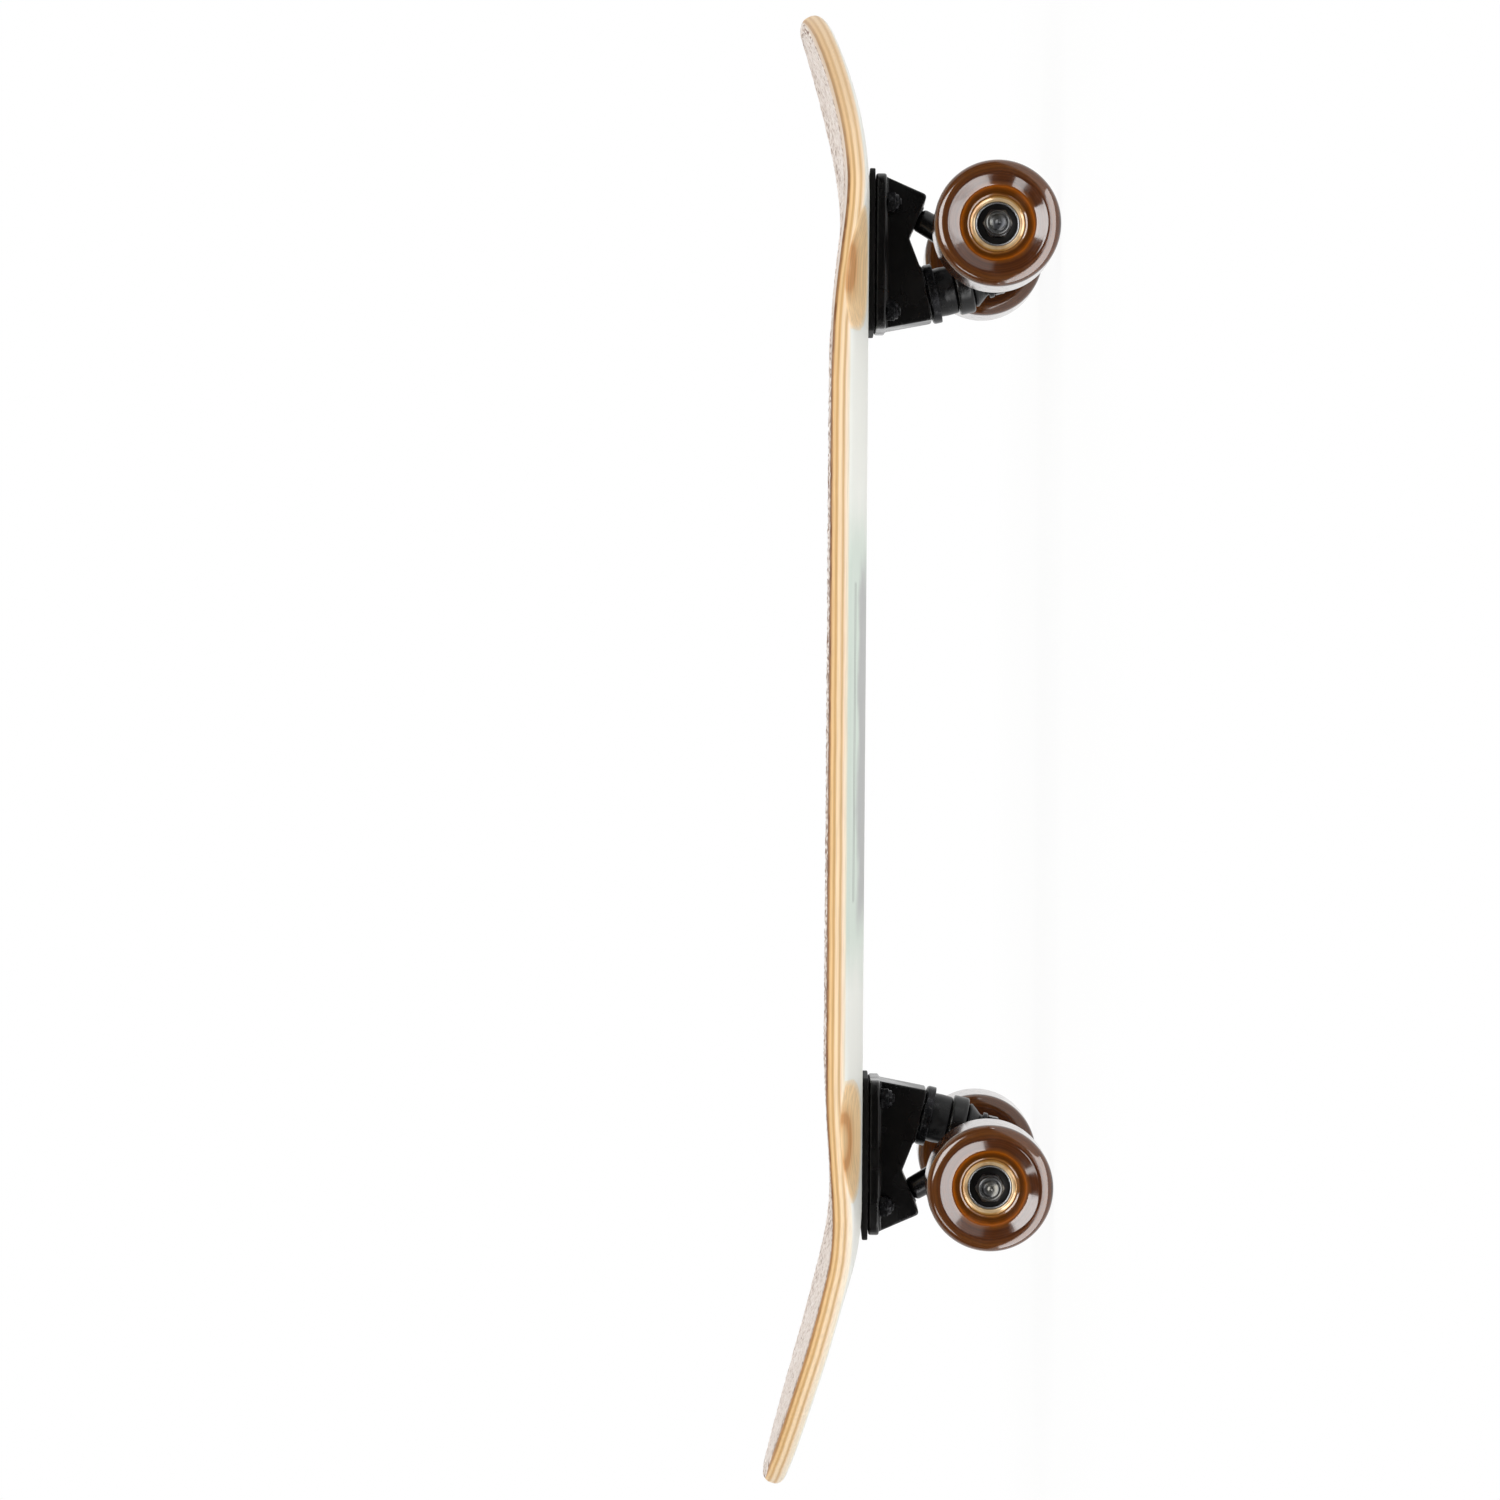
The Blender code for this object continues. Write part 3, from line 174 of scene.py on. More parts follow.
class TruckSettings(bpy.types.PropertyGroup):
    """Trucks and their hardware."""

    paint: colour_setting("Truck paint", "Gloss paint on the cast trucks", "#0b0a0a")
    bushing: colour_setting("Bushings", "Urethane bushings and pivot cups", "#131314")
    rubber: colour_setting("Riser pads", "Moulded rubber pads", "#0d0c0b")
    steel: colour_setting("Zinc plate", "Axles and axle nuts", "#474746")
    black_steel: colour_setting("Black oxide", "Kingpins, bolts, nuts and washers", "#262628")


class WheelSettings(bpy.types.PropertyGroup):
    """Wheels and bearings."""

    lip: length_setting("Lip round", "Radius of the tread's edge", 4.5)
    dish_depth: length_setting("Dish depth", "How deep the wheel's face is dished", 2.4)
    brown: colour_setting("Urethane", "The wheel's brown urethane", "#4d2810")
    amber: colour_setting("Urethane near the core", "Thin urethane that glows amber", "#9a500a")
    core: colour_setting("Core", "The gold sleeve round the bearing", "#d5b98f")
    shield: colour_setting("Bearing shield", "The bearing's black shield", "#090807")


class StudioSettings(bpy.types.PropertyGroup):
    """Stage and lamps."""

    floor: colour_setting("Floor", "Pale floor and backdrop", "#f4f4f2")
    lamp_level: FloatProperty(name="Lamp level", description="Strength of every lamp", min=0,
                              default=1.0)
    sky_level: FloatProperty(name="Sky level", description="Soft light from all round", min=0,
                             default=0.62)


# Shapes: a shape is (points in millimetres, faces)


def skin(rings, around=True, closed=False):
    """Faces between rings of point numbers; a repeated number closes to a point."""
    faces = []
    pairs = list(zip(rings, rings[1:]))
    if closed:
        pairs.append((rings[-1], rings[0]))
    for lower, upper in pairs:
        count = len(lower)
        for here in range(count if around else count - 1):
            after = (here + 1) % count
            face = [lower[here], lower[after], upper[after], upper[here]]
            face = [point for k, point in enumerate(face) if point != face[k - 1]]
            if len(face) > 2:
                faces.append(face)
    return faces


def turned(profile, facets=64, closed=False):
    """A (radius, height) profile turned about Z. A radius may be a function of angle and height."""
    angles = np.arange(facets) * math.tau / facets
    points, rings = [], []
    for radius, height in profile:
        if not callable(radius) and radius == 0:
            rings.append([len(points)] * facets)
            points.append((0.0, 0.0, height))
            continue
        reach = radius(angles, height) if callable(radius) else np.full(facets, float(radius))
        rings.append(list(range(len(points), len(points) + facets)))
        points += [(r * math.cos(a), r * math.sin(a), height) for r, a in zip(reach, angles)]
    return np.array(points), skin(rings, closed=closed)


def rounded(corners, radii, closed=False, steps=6):
    """A line through (x, y) corners with each corner rounded by its radius."""
    corners = [np.array(corner, float) for corner in corners]
    count = len(corners)
    radii = [radii] * count if not hasattr(radii, "__len__") else radii
    line = []
    for here, corner in enumerate(corners):
        if radii[here] <= 0 or (not closed and here in (0, count - 1)):
            line.append(tuple(corner))
            continue
        back, on = corners[here - 1] - corner, corners[(here + 1) % count] - corner
        back_length, on_length = np.linalg.norm(back), np.linalg.norm(on)
        back, on = back / back_length, on / on_length
        half = 0.5 * math.acos(float(np.clip(back @ on, -1, 1)))
        # A round takes up at most 0.72 of the shorter side beside it
        room = 0.72 * min(back_length, on_length)
        run = min(radii[here] / math.tan(half), room)
        middle = (back + on) / np.linalg.norm(back + on)
        centre = corner + middle * run / math.cos(half)
        first, last = corner + back * run - centre, corner + on * run - centre
        start = math.atan2(first[1], first[0])
        turn = (math.atan2(last[1], last[0]) - start + math.pi) % math.tau - math.pi
        radius = np.linalg.norm(first)
        for step in range(steps + 1):
            angle = start + turn * step / steps
            line.append((centre[0] + radius * math.cos(angle), centre[1] + radius * math.sin(angle)))
    return line


def flipped(profile):
    """A turned profile upside down, from its new bottom up."""
    return [(radius, -height) for radius, height in profile[::-1]]


def rod(radius, start, end, facets=48):
    """A plain round bar along Z."""
    return turned([(0, start), (radius, start), (radius, end), (0, end)], facets)


def rounded_ring(corners, radii, facets=72, steps=6):
    """A ring turned from an outline whose corners are rounded."""
    return turned(rounded(corners, radii, closed=True, steps=steps), facets, closed=True)


def stacked(loops):
    """A solid through closed loops of as many points each, with flat ends."""
    count = len(loops[0])
    points = np.array([point for loop in loops for point in loop], float)
    rings = [list(range(k * count, (k + 1) * count)) for k in range(len(loops))]
    return points, skin(rings) + [rings[0][::-1], rings[-1]]


def plate(low_x, high_x, width, corner, top, bottom, edge):
    """A flat plate with rounded corners and slightly rounded edges."""
    # Halfway round, an edge stands in by 0.3 of its radius
    half, bevel = width / 2, edge * 0.3
    corners = [(high_x, half), (low_x, half), (low_x, -half), (high_x, -half)]
    loops = []
    for inset, level in ((edge, bottom), (bevel, bottom + bevel), (0, bottom + edge),
                         (0, top - edge), (bevel, top - bevel), (edge, top)):
        box = [(x - math.copysign(inset, x), y - math.copysign(inset, y)) for x, y in corners]
        loops.append([(x, y, level) for x, y in rounded(box, corner - inset, closed=True)])
    return stacked(loops)


def block(outline, half_width, draft, round_by):
    """An outline of (x, depth) points drawn out both ways along Y, narrower with depth."""
    line = rounded(outline, round_by, closed=True, steps=4)
    return stacked([[(x, side * (half_width - draft * depth), -depth) for x, depth in line]
                    for side in (-1, 1)])


def swept(places, facets=48):
    """A round bar along (point, radius) places that lie in the XZ plane."""
    loops = []
    for here, (point, radius) in enumerate(places):
        before, after = places[max(here - 1, 0)][0], places[min(here + 1, len(places) - 1)][0]
        along, side = (after - before).normalized(), Vector((0, 1, 0))
        up = along.cross(side)
        loops.append([point + (side * math.cos(a) + up * math.sin(a)) * radius
                      for a in np.arange(facets) * math.tau / facets])
    return stacked(loops)


def placed(shape, matrix):
    """The same shape in another place."""
    points, faces = shape
    turn = np.array(matrix.to_3x3())
    return points @ turn.T + np.array(matrix.translation), faces


def together(*shapes):
    """Several shapes as one."""
    points, faces, count = [], [], 0
    for more, skins in shapes:
        points.append(more)
        faces += [[number + count for number in face] for face in skins]
        count += len(more)
    return np.concatenate(points), faces


def hexagon(flats, cone):
    """The radius round a hexagon, cut by a chamfer's cone."""
    def reach(angles, _):
        from_flat = (angles + math.pi / 6) % (math.pi / 3) - math.pi / 6
        return np.minimum(flats / 2 / np.cos(from_flat), cone)
    return reach


def thread(radius, pitch, depth):
    """The radius of a rolled thread round its bar at a height."""
    def reach(angles, height):
        turn = height / pitch - angles / math.tau
        return radius - depth * (0.5 - 0.5 * np.cos(math.tau * turn))
    return reach


def threaded_end(radius, start, end, pitch, depth):
    """The profile of a thread from start to a chamfered end with a centre mark."""
    rings = [(thread(radius, pitch, depth), height)
             for height in np.arange(start, end - depth, pitch / 6)]
    return rings + [(radius - depth * 1.4, end - depth * 0.4), (radius - depth * 2, end),
                    (radius * 0.34, end), (radius * 0.2, end - radius * 0.1), (0, end - radius * 0.2)]


def hex_nut(flats, start, height, bore, collar=None, chamfer=0.8, facets=72):
    """A hexagon nut from start to its end, with a rounded locking collar where it has one."""
    # The chamfers' cones run from just inside the flats out to the corners
    narrow, wide = flats / 2 * 0.97, flats / 2 / math.cos(math.pi / 6)
    end = start + height
    body_end = end - (collar[1] if collar else 0)
    cut = [(hexagon(flats, narrow + (wide - narrow) * share), chamfer * share * 0.6)
           for share in np.linspace(0, 1, 4)]
    profile = [(bore, start + 0.4), (bore + 0.4, start), *[(reach, start + rise) for reach, rise in cut],
               *[(reach, body_end - rise) for reach, rise in cut[::-1]]]
    if collar:
        radius, rise = collar
        profile += [(radius, body_end), (radius, end - rise * 0.45),
                    (radius - rise * 0.15, end - rise * 0.15), (radius - rise * 0.5, end),
                    (bore + 0.9, end), (bore + 0.7, end - 0.25), (bore, end - 0.3)]
    else:
        profile += [(bore + 0.4, end), (bore, end - 0.4)]
    return turned(profile, facets, closed=True)


def along_line(point, direction):
    """The frame that stands Z along a direction at a point, with Y across the truck."""
    across = Vector((0, 1, 0))
    made = Matrix((across.cross(direction), across, direction)).transposed().to_4x4()
    made.translation = point
    return made


KINGPIN_FRAME = along_line(KINGPIN_SEAT, KINGPIN_LINE)
PIVOT_FRAME = along_line(PIVOT_TIP, PIVOT_LINE)


def on_axle(y, side=1):
    """The frame of a piece on the axle, its Z pointing to one side of the board."""
    middle = AXLE_POINT + Vector((0, side * y, 0))
    return Matrix.Translation(middle) @ Matrix.Rotation(-side * math.pi / 2, 4, "X")


def at_bolts(shape, x=0):
    """Copies of a shape on a truck's four bolts."""
    return together(*[placed(shape, Matrix.Translation((x + along, across, 0)))
                      for along, across in BOLT_PLACES])


BOLT_BORE = rod(BOLT_HOLE, -60, 60, 32)
TRUCKS = {
    "front": Matrix.Translation((FRONT_X, 0, TRUCK_Z)),
    "rear": Matrix.Translation((REAR_X, 0, TRUCK_Z)) @ Matrix.Rotation(math.pi, 4, "Z"),
}


# Objects


def new_object(name, shape):
    """An object that holds a shape, its faces turned outwards."""
    points, faces = shape
    name = "fine_" + name
    mesh = bpy.data.meshes.new(name)
    mesh.from_pydata([tuple(point) for point in np.asarray(points) * MM], [], faces)
    bm = bmesh.new()
    bm.from_mesh(mesh)
    bmesh.ops.recalc_face_normals(bm, faces=bm.faces)
    bm.to_mesh(mesh)
    bm.free()
    made = bpy.data.objects.new(name, mesh)
    bpy.context.collection.objects.link(made)
    return made


def take_modifiers(made):
    """Turns an object's modifiers into its mesh."""
    bpy.context.view_layer.update()
    old, graph = made.data, bpy.context.evaluated_depsgraph_get()
    made.data = bpy.data.meshes.new_from_object(made.evaluated_get(graph))
    made.data.name = made.name
    made.modifiers.clear()
    bpy.data.meshes.remove(old)


def combine(made, shape, operation):
    """Unites an object with a shape, or cuts the shape out of it."""
    tool = new_object(made.name + "_tool", shape)
    step = made.modifiers.new(operation.lower(), "BOOLEAN")
    step.operation, step.solver, step.object = operation, "EXACT", tool
    take_modifiers(made)
    mesh = tool.data
    bpy.data.objects.remove(tool)
    bpy.data.meshes.remove(mesh)


def cast(made, grain, smoothing):
    """Gives a piece the soft edges and fillets of a casting."""
    step = made.modifiers.new("remesh", "REMESH")
    step.mode, step.voxel_size = "VOXEL", grain * MM
    soften = made.modifiers.new("soften", "SMOOTH")
    soften.factor, soften.iterations = 0.5, smoothing
    take_modifiers(made)


def fit(made, finish, body=None, place=None, nodes=None, between=None, sharp=35):
    """Gives a piece its finish and place, ties it to the body that carries it, or bakes the place of a
    piece held between two bodies into its mesh, and lets it stand for its CAD nodes, or for the node of its
    own name."""
    made.data.materials.clear()
    made.data.materials.append(finish)
    made.data.shade_smooth()
    made.data.set_sharp_from_angle(angle=math.radians(sharp))
    shade = made.modifiers.new("even_shading", "WEIGHTED_NORMAL")
    shade.keep_sharp = True
    take_modifiers(made)
    if place:
        made.matrix_world = place
    if between:
        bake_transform(made)
    else:
        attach(made, body)
    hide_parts(*([made.name.removeprefix("fine_")] if nodes is None else nodes))


def in_metres(matrix):
    """A millimetre frame's matrix in metres."""
    made = matrix.copy()
    made.translation = matrix.translation * MM
    return made


# Materials

SMOOTH = {"interpolation_type": "SMOOTHSTEP"}
COLOURS = {"data_type": "RGBA"}
TINT = {"data_type": "RGBA", "blend_type": "MULTIPLY"}


def rgba(colour):
    """An opaque colour from a hex value or from a linear colour."""
    return (*(hex_linear(colour) if isinstance(colour, str) else colour), 1)


def put(tree, value, socket):
    """Puts a value, a colour, an output or a node's first open output on a socket."""
    if isinstance(value, bpy.types.Node):
        value = next(output for output in value.outputs if output.enabled)
    if isinstance(value, bpy.types.NodeSocket):
        tree.links.new(value, socket)
    else:
        socket.default_value = rgba(value) if socket.type == "RGBA" else value


def node(tree, kind, *values, stops=(), **settings):
    """Adds a node with its settings, what goes on its open inputs in their order, and its ramp's
    stops. None leaves an input as it is."""
    made = tree.nodes.new("ShaderNode" + kind)
    for key, value in settings.items():
        setattr(made, key, value)
    for socket, value in zip([each for each in made.inputs if each.enabled], values):
        if value is not None:
            put(tree, value, socket)
    for number, (place, colour) in enumerate(stops):
        ramp = made.color_ramp.elements
        element = ramp[number] if number < len(ramp) else ramp.new(place)
        element.position, element.color = place, rgba(colour)
    return made


def new_finish(name):
    """A material of one Principled shader, and the function that adds nodes to it."""
    made = bpy.data.materials.new(name)
    made.use_nodes = True
    return made, partial(node, made.node_tree)


def surface(made, **sockets):
    """Puts even values and nodes on a finish's shader sockets."""
    tree = made.node_tree
    for name, value in sockets.items():
        socket = name.replace("_", " ").title().replace("Ior", "IOR")
        put(tree, value, tree.nodes["Principled BSDF"].inputs[socket])
    return made


def maple_finish(look):
    """Pressed maple plies, sanded and lacquered, painted below: the eye sees pale and tan bands
    with fine long grain on the rails and in the wells, and a soft pale sheen underneath."""
    made, add = new_finish("lacquered_maple_plies")
    flat = add("Attribute", attribute_name="board").outputs["Vector"]
    scoop = add("Attribute", attribute_name="scoop").outputs["Fac"]
    along, across, height = add("SeparateXYZ", flat).outputs
    # The glue lines wander by about 0.2 mm over a few centimetres
    way = add("VectorMath", flat, (30, 90, 0), operation="MULTIPLY")
    wander = add("MapRange", add("TexNoise", way, 1.0, 3.0), 0, 1, -0.00035, 0.00035)
    level = add("Math", height, wander, operation="ADD")
    share = add("Math", level, look.thickness, operation="DIVIDE")
    # On the nose the grit laps over the rail's rounded edge and the plies are pressed thinner
    over = add("MapRange", along, FRONT_X - 0.07, FRONT_X - 0.02, -0.025, 0.12, **SMOOTH)
    share = add("Math", share, over, operation="ADD")
    pale, tan, top = look.pale_ply, look.tan_ply, look.top_ply
    wood = add("ValToRGB", share, stops=[
        (0.0, "#f0e1ca"), (0.17, "#f3e4cd"), (0.24, "#fce7cc"), (0.29, "#f6dab8"), (0.34, "#dfb98a"),
        (0.38, "#dab280"), (0.42, "#eac99c"), (0.47, pale), (0.56, pale), (0.61, "#e9c390"), (0.65, tan),
        (0.69, tan), (0.73, "#edc68c"), (0.79, "#f5cf98"), (0.84, "#e4b57a"), (0.875, "#b98950"),
        (0.91, top), (0.95, top), (0.975, "#94704e"), (0.99, "#c3ab98"), (1.0, "#dacdc3")])
    # Wood fibres 0.3 mm apart and centimetres long
    way = add("VectorMath", flat, (45, 900, 2600), operation="MULTIPLY")
    grain = add("TexNoise", way, 1.0, 5.0, 0.6)
    pores = add("MapRange", grain, 0.36, 0.62, 0.90, 1.04, **SMOOTH)
    wood = add("Mix", 1.0, wood, add("CombineXYZ", pores, pores, pores), **TINT)
    # Blotches of stain in the top ply's cut edge, and paler wood with less contrast on the nose
    blotch = add("MapRange", add("TexNoise", flat, 90.0, 4.0), 0.42, 0.66, 0, 1, **SMOOTH)
    stained = add("Math", add("MapRange", share, 0.85, 0.92, 0, 1, **SMOOTH),
                  add("MapRange", share, 0.95, 0.99, 1, 0, **SMOOTH), operation="MULTIPLY")
    stain = add("Math", stained, blotch, operation="MULTIPLY")
    wood = add("Mix", stain, wood, "#7a4a20", **COLOURS)
    calm = add("MapRange", along, NOSE_KICK_X - 0.01, NOSE_KICK_X + 0.05, 0, 1, **SMOOTH)
    calm = add("Math", calm, 0.5, operation="MULTIPLY")
    wood = add("Mix", calm, wood, "#dfc09a", **COLOURS)
    tail = add("MapRange", along, TAIL_KICK_X - 0.06, TAIL_KICK_X + 0.02, 1, 0, **SMOOTH)
    ends = add("Math", add("Math", tail, calm, operation="MAXIMUM"), stained, operation="MULTIPLY")
    ends = add("Math", ends, 0.7, operation="MULTIPLY")
    wood = add("Mix", ends, wood, "#c4925b", **COLOURS)
    # The wells cut through the lower plies' faces, darker than their edges
    deepest = add("MapRange", along, -0.01, 0.01, look.tail_well, look.nose_well * 1.08, **SMOOTH)
    faces = add("ValToRGB", add("Math", scoop, deepest, operation="DIVIDE"), stops=[
        (0.0, "#fbe4c0"), (0.25, "#fad8a9"), (0.60, "#fad7a6"), (0.77, "#efc38c"), (0.83, "#d79c62"),
        (0.91, "#d99f65"), (0.955, "#efc38c"), (1.0, "#f8d4a2")])
    way = add("VectorMath", flat, (14, 420, 900), operation="MULTIPLY")
    streak = add("MapRange", add("TexNoise", way, 1.0, 4.0), 0.36, 0.62, 0.86, 1.05, **SMOOTH)
    faces = add("Mix", 1.0, faces, add("CombineXYZ", streak, streak, streak), **TINT)
    over_scoop = add("Math", level, scoop, operation="SUBTRACT")
    under = add("Math", add("MapRange", scoop, 0.0002, 0.0009, 0, 1, **SMOOTH),
                add("MapRange", over_scoop, 0.0004, 0.0010, 1, 0, **SMOOTH), operation="MULTIPLY")
    wood = add("Mix", under, wood, faces, **COLOURS)
    # The underside: an even pale coat with a soft panel between the trucks
    far = add("Math", add("Math", along, 0.006, operation="SUBTRACT"), operation="ABSOLUTE")
    out = add("Math", across, operation="ABSOLUTE")
    drift = add("MapRange", add("TexNoise", flat, 22.0, 3.0), 0, 1, -0.02, 0.02)
    far_soft = add("Math", far, drift, operation="ADD")
    out_soft = add("Math", out, drift, operation="ADD")
    panel = add("MapRange", far_soft, 0.088, 0.128, 1, 0, **SMOOTH)
    coat = add("Mix", panel, look.paint, look.mint, **COLOURS)
    middle = add("Math", add("MapRange", out_soft, 0.074, 0.090, 1, 0, **SMOOTH),
                 add("MapRange", far_soft, 0.070, 0.098, 1, 0, **SMOOTH), operation="MULTIPLY")
    coat = add("Mix", middle, coat, look.grey, **COLOURS)
    # Two pinstripes 1 mm wide along each side of the panel
    for place in (0.0925, 0.0955):
        off = add("Math", add("Math", out, place, operation="SUBTRACT"), operation="ABSOLUTE")
        line = add("Math", add("MapRange", off, 0.0004, 0.0006, 1, 0, **SMOOTH),
                   add("MapRange", far, 0.076, 0.078, 1, 0, **SMOOTH), operation="MULTIPLY")
        coat = add("Mix", add("Math", line, 0.8, operation="MULTIPLY"), coat, "#4a4c4a", **COLOURS)
    # The paint ends on the rail, lower at the board's ends, and stays out of the wells
    lap = add("MapRange", far, 0.21, 0.25, 0, -0.0008, **SMOOTH)
    above = add("Math", level, lap, operation="SUBTRACT")
    bare = add("Math", add("MapRange", above, 0.0009, 0.0020, 0, 1, **SMOOTH),
               add("MapRange", scoop, 0.00012, 0.0003, 0, 1, **SMOOTH), operation="MAXIMUM")
    return surface(made, base_color=add("Mix", bare, coat, wood, **COLOURS), specular_ior_level=0.3,
                   roughness=add("MapRange", grain, 0.3, 0.7, 0.40, 0.52, **SMOOTH),
                   normal=add("Bump", 0.25, 0.00012, None, grain))


def grit_finish(look):
    """Clear grip, sprayed grit over the stained top ply: each grain is painted paler the higher it stands,
    as painted light and shade.
    """
    made, add = new_finish("clear_sprayed_grit")
    flat = add("Attribute", attribute_name="board").outputs["Vector"]
    along, across, _ = add("SeparateXYZ", flat).outputs
    # Real grit is 0.2 mm; it is drawn at 1.4 mm, in the mesh too, so that it shows
    grain = add("Attribute", attribute_name="grain").outputs["Fac"]
    # Painted light and shade: the grain's height sets its colour, dark brown-grey on low grains and near
    # white on high ones
    shade = add("ValToRGB", grain, stops=[(0.0, "#84675a"), (0.16, "#b5a194"), (0.42, look.grit),
                                          (0.8, "#f5ece5"), (1.0, "#fffaf5")])
    worn = add("MapRange", add("TexNoise", flat, 14.0, 4.0), 0.4, 0.7, 0, 0.25, **SMOOTH)
    shade = add("Mix", worn, shade, "#d6c3b5", **COLOURS)
    # Along the rails the grit thins out and the stain shows through
    rail = DECK_WIDTH / 2
    thin = add("Math", add("MapRange", add("Math", across, operation="ABSOLUTE"), rail - 0.0044,
                           rail - 0.0030, 0, 0.8, **SMOOTH),
               add("MapRange", along, FRONT_X - 0.08, FRONT_X - 0.04, 1, 0, **SMOOTH),
               operation="MULTIPLY")
    shade = add("Mix", thin, shade, "#7d5433", **COLOURS)
    rough = add("Math", add("TexVoronoi", flat, 900.0), add("TexNoise", flat, 1900.0, 2.0),
                operation="ADD")
    return surface(made, base_color=shade, roughness=0.9, specular_ior_level=0.35,
                   normal=add("Bump", 0.7, 0.0004, None, rough))


def rubber_finish(look):
    """Moulded black rubber: matt, with the faint stipple and dust of a mould."""
    made, add = new_finish("moulded_black_rubber")
    place = add("TexCoord").outputs["Object"]
    dust = add("MapRange", add("TexNoise", place, 160.0, 5.0), 0.45, 0.75, 0, 0.3, **SMOOTH)
    return surface(made, base_color=add("Mix", dust, look.rubber, "#1f1d1b", **COLOURS), roughness=0.6,
                   specular_ior_level=0.15,
                   normal=add("Bump", 0.3, 0.0001, None, add("TexVoronoi", place, 1500.0)))


def truck_paint_finish(look):
    """Gloss powder coat on cast aluminium: deep black with an orange-peel ripple in its highlights."""
    made, add = new_finish("gloss_powder_coated_aluminium")
    place = add("TexCoord").outputs["Object"]
    # Orange peel about 2 mm across over casting sand marks of 0.6 mm
    peel = add("TexNoise", place, 480.0, 1.0)
    height = add("Math", add("TexNoise", place, 1700.0, 3.0), 0.35, peel, operation="MULTIPLY_ADD")
    haze = add("TexNoise", place, 60.0, 4.0)
    return surface(made, base_color=look.paint, specular_ior_level=0.35, coat_weight=0.15,
                   coat_roughness=0.12, normal=add("Bump", 0.22, 0.00025, None, height),
                   roughness=add("MapRange", haze, 0.35, 0.7, 0.2, 0.36, **SMOOTH))


def bushing_finish(look):
    """Poured charcoal urethane: smooth and waxy, with a dull bloom."""
    made, add = new_finish("poured_charcoal_urethane")
    bloom = add("TexNoise", add("TexCoord").outputs["Object"], 220.0, 4.0)
    pale = add("MapRange", bloom, 0.4, 0.75, 0, 0.5, **SMOOTH)
    return surface(made, base_color=add("Mix", pale, look.bushing, "#232426", **COLOURS),
                   roughness=add("MapRange", bloom, 0.3, 0.7, 0.24, 0.38, **SMOOTH),
                   specular_ior_level=0.25, normal=add("Bump", 0.15, 0.0001, None, bloom))


def black_oxide_finish(look):
    """Black oxide on turned and pressed steel: dark, oily, with grey where it has rubbed."""
    made, add = new_finish("black_oxide_steel")
    place = add("TexCoord").outputs["Object"]
    rub = add("TexNoise", place, 420.0, 5.0, 0.65)
    bare = add("MapRange", rub, 0.56, 0.72, 0, 0.55, **SMOOTH)
    # Turning marks 0.3 mm apart
    marks = add("TexWave", place, 520.0, 0.6, 1.0, wave_type="RINGS", rings_direction="Z").outputs["Fac"]
    return surface(made, base_color=add("Mix", bare, look.black_steel, "#737475", **COLOURS),
                   metallic=0.85, roughness=add("MapRange", rub, 0.3, 0.7, 0.18, 0.38, **SMOOTH),
                   normal=add("Bump", 0.12, 0.00006, None, marks))


def zinc_finish(look):
    """Zinc-plated steel, turned and oil-darkened: dull grey with fine bright rings."""
    made, add = new_finish("zinc_plated_steel")
    place = add("TexCoord").outputs["Object"]
    tone = add("ValToRGB", add("TexNoise", place, 130.0, 3.0),
               stops=[(0.3, "#3c3d40"), (0.5, look.steel), (0.7, "#5f5c55")])
    marks = add("TexWave", place, 650.0, 0.8, 2.0, wave_type="RINGS", rings_direction="Z").outputs["Fac"]
    return surface(made, base_color=tone, metallic=1.0,
                   roughness=add("MapRange", marks, 0, 1, 0.26, 0.44, **SMOOTH),
                   normal=add("Bump", 0.12, 0.00005, None, marks))


def from_middle(add, place):
    """How far a turned piece's surface lies from its own axis."""
    x, y, _ = add("SeparateXYZ", place).outputs
    return add("VectorMath", add("CombineXYZ", x, y), operation="LENGTH")


def urethane_finish(look):
    """Cast wheel urethane, gloss from its mould: dark brown, amber where it thins over the core."""
    made, add = new_finish("cast_brown_urethane")
    place = add("TexCoord").outputs["Object"]
    swirl = add("TexNoise", place, 70.0, 3.0)
    drift = add("MapRange", swirl, 0, 1, -0.001, 0.001)
    where = add("Math", from_middle(add, place), drift, operation="ADD")
    shade = add("ValToRGB", add("Math", where, WHEEL_HIGH.z / 2, operation="DIVIDE"), stops=[
        (0.44, "#8c5c26"), (0.48, "#663a10"), (0.51, "#562e0a"), (0.545, "#703a06"), (0.575, look.amber),
        (0.61, "#683a10"), (0.65, look.brown), (0.80, look.brown), (0.87, "#5c3413"), (0.97, "#5a3215")])
    # Flow rings about 1 mm apart where the urethane filled the mould
    ring_place = add("Math", where, 1100.0, operation="MULTIPLY")
    rings = add("TexNoise", ring_place, 1.0, 2.0, noise_dimensions="1D")
    tone = add("MapRange", rings, 0.3, 0.7, 0.80, 1.18, **SMOOTH)
    shade = add("Mix", 1.0, shade, add("CombineXYZ", tone, tone, tone), **TINT)
    scuff = add("TexNoise", place, 300.0, 6.0)
    return surface(made, base_color=shade, coat_weight=0.5, coat_roughness=0.06,
                   roughness=add("MapRange", scuff, 0.4, 0.75, 0.11, 0.22, **SMOOTH),
                   normal=add("Bump", 0.06, 0.0002, None, swirl))


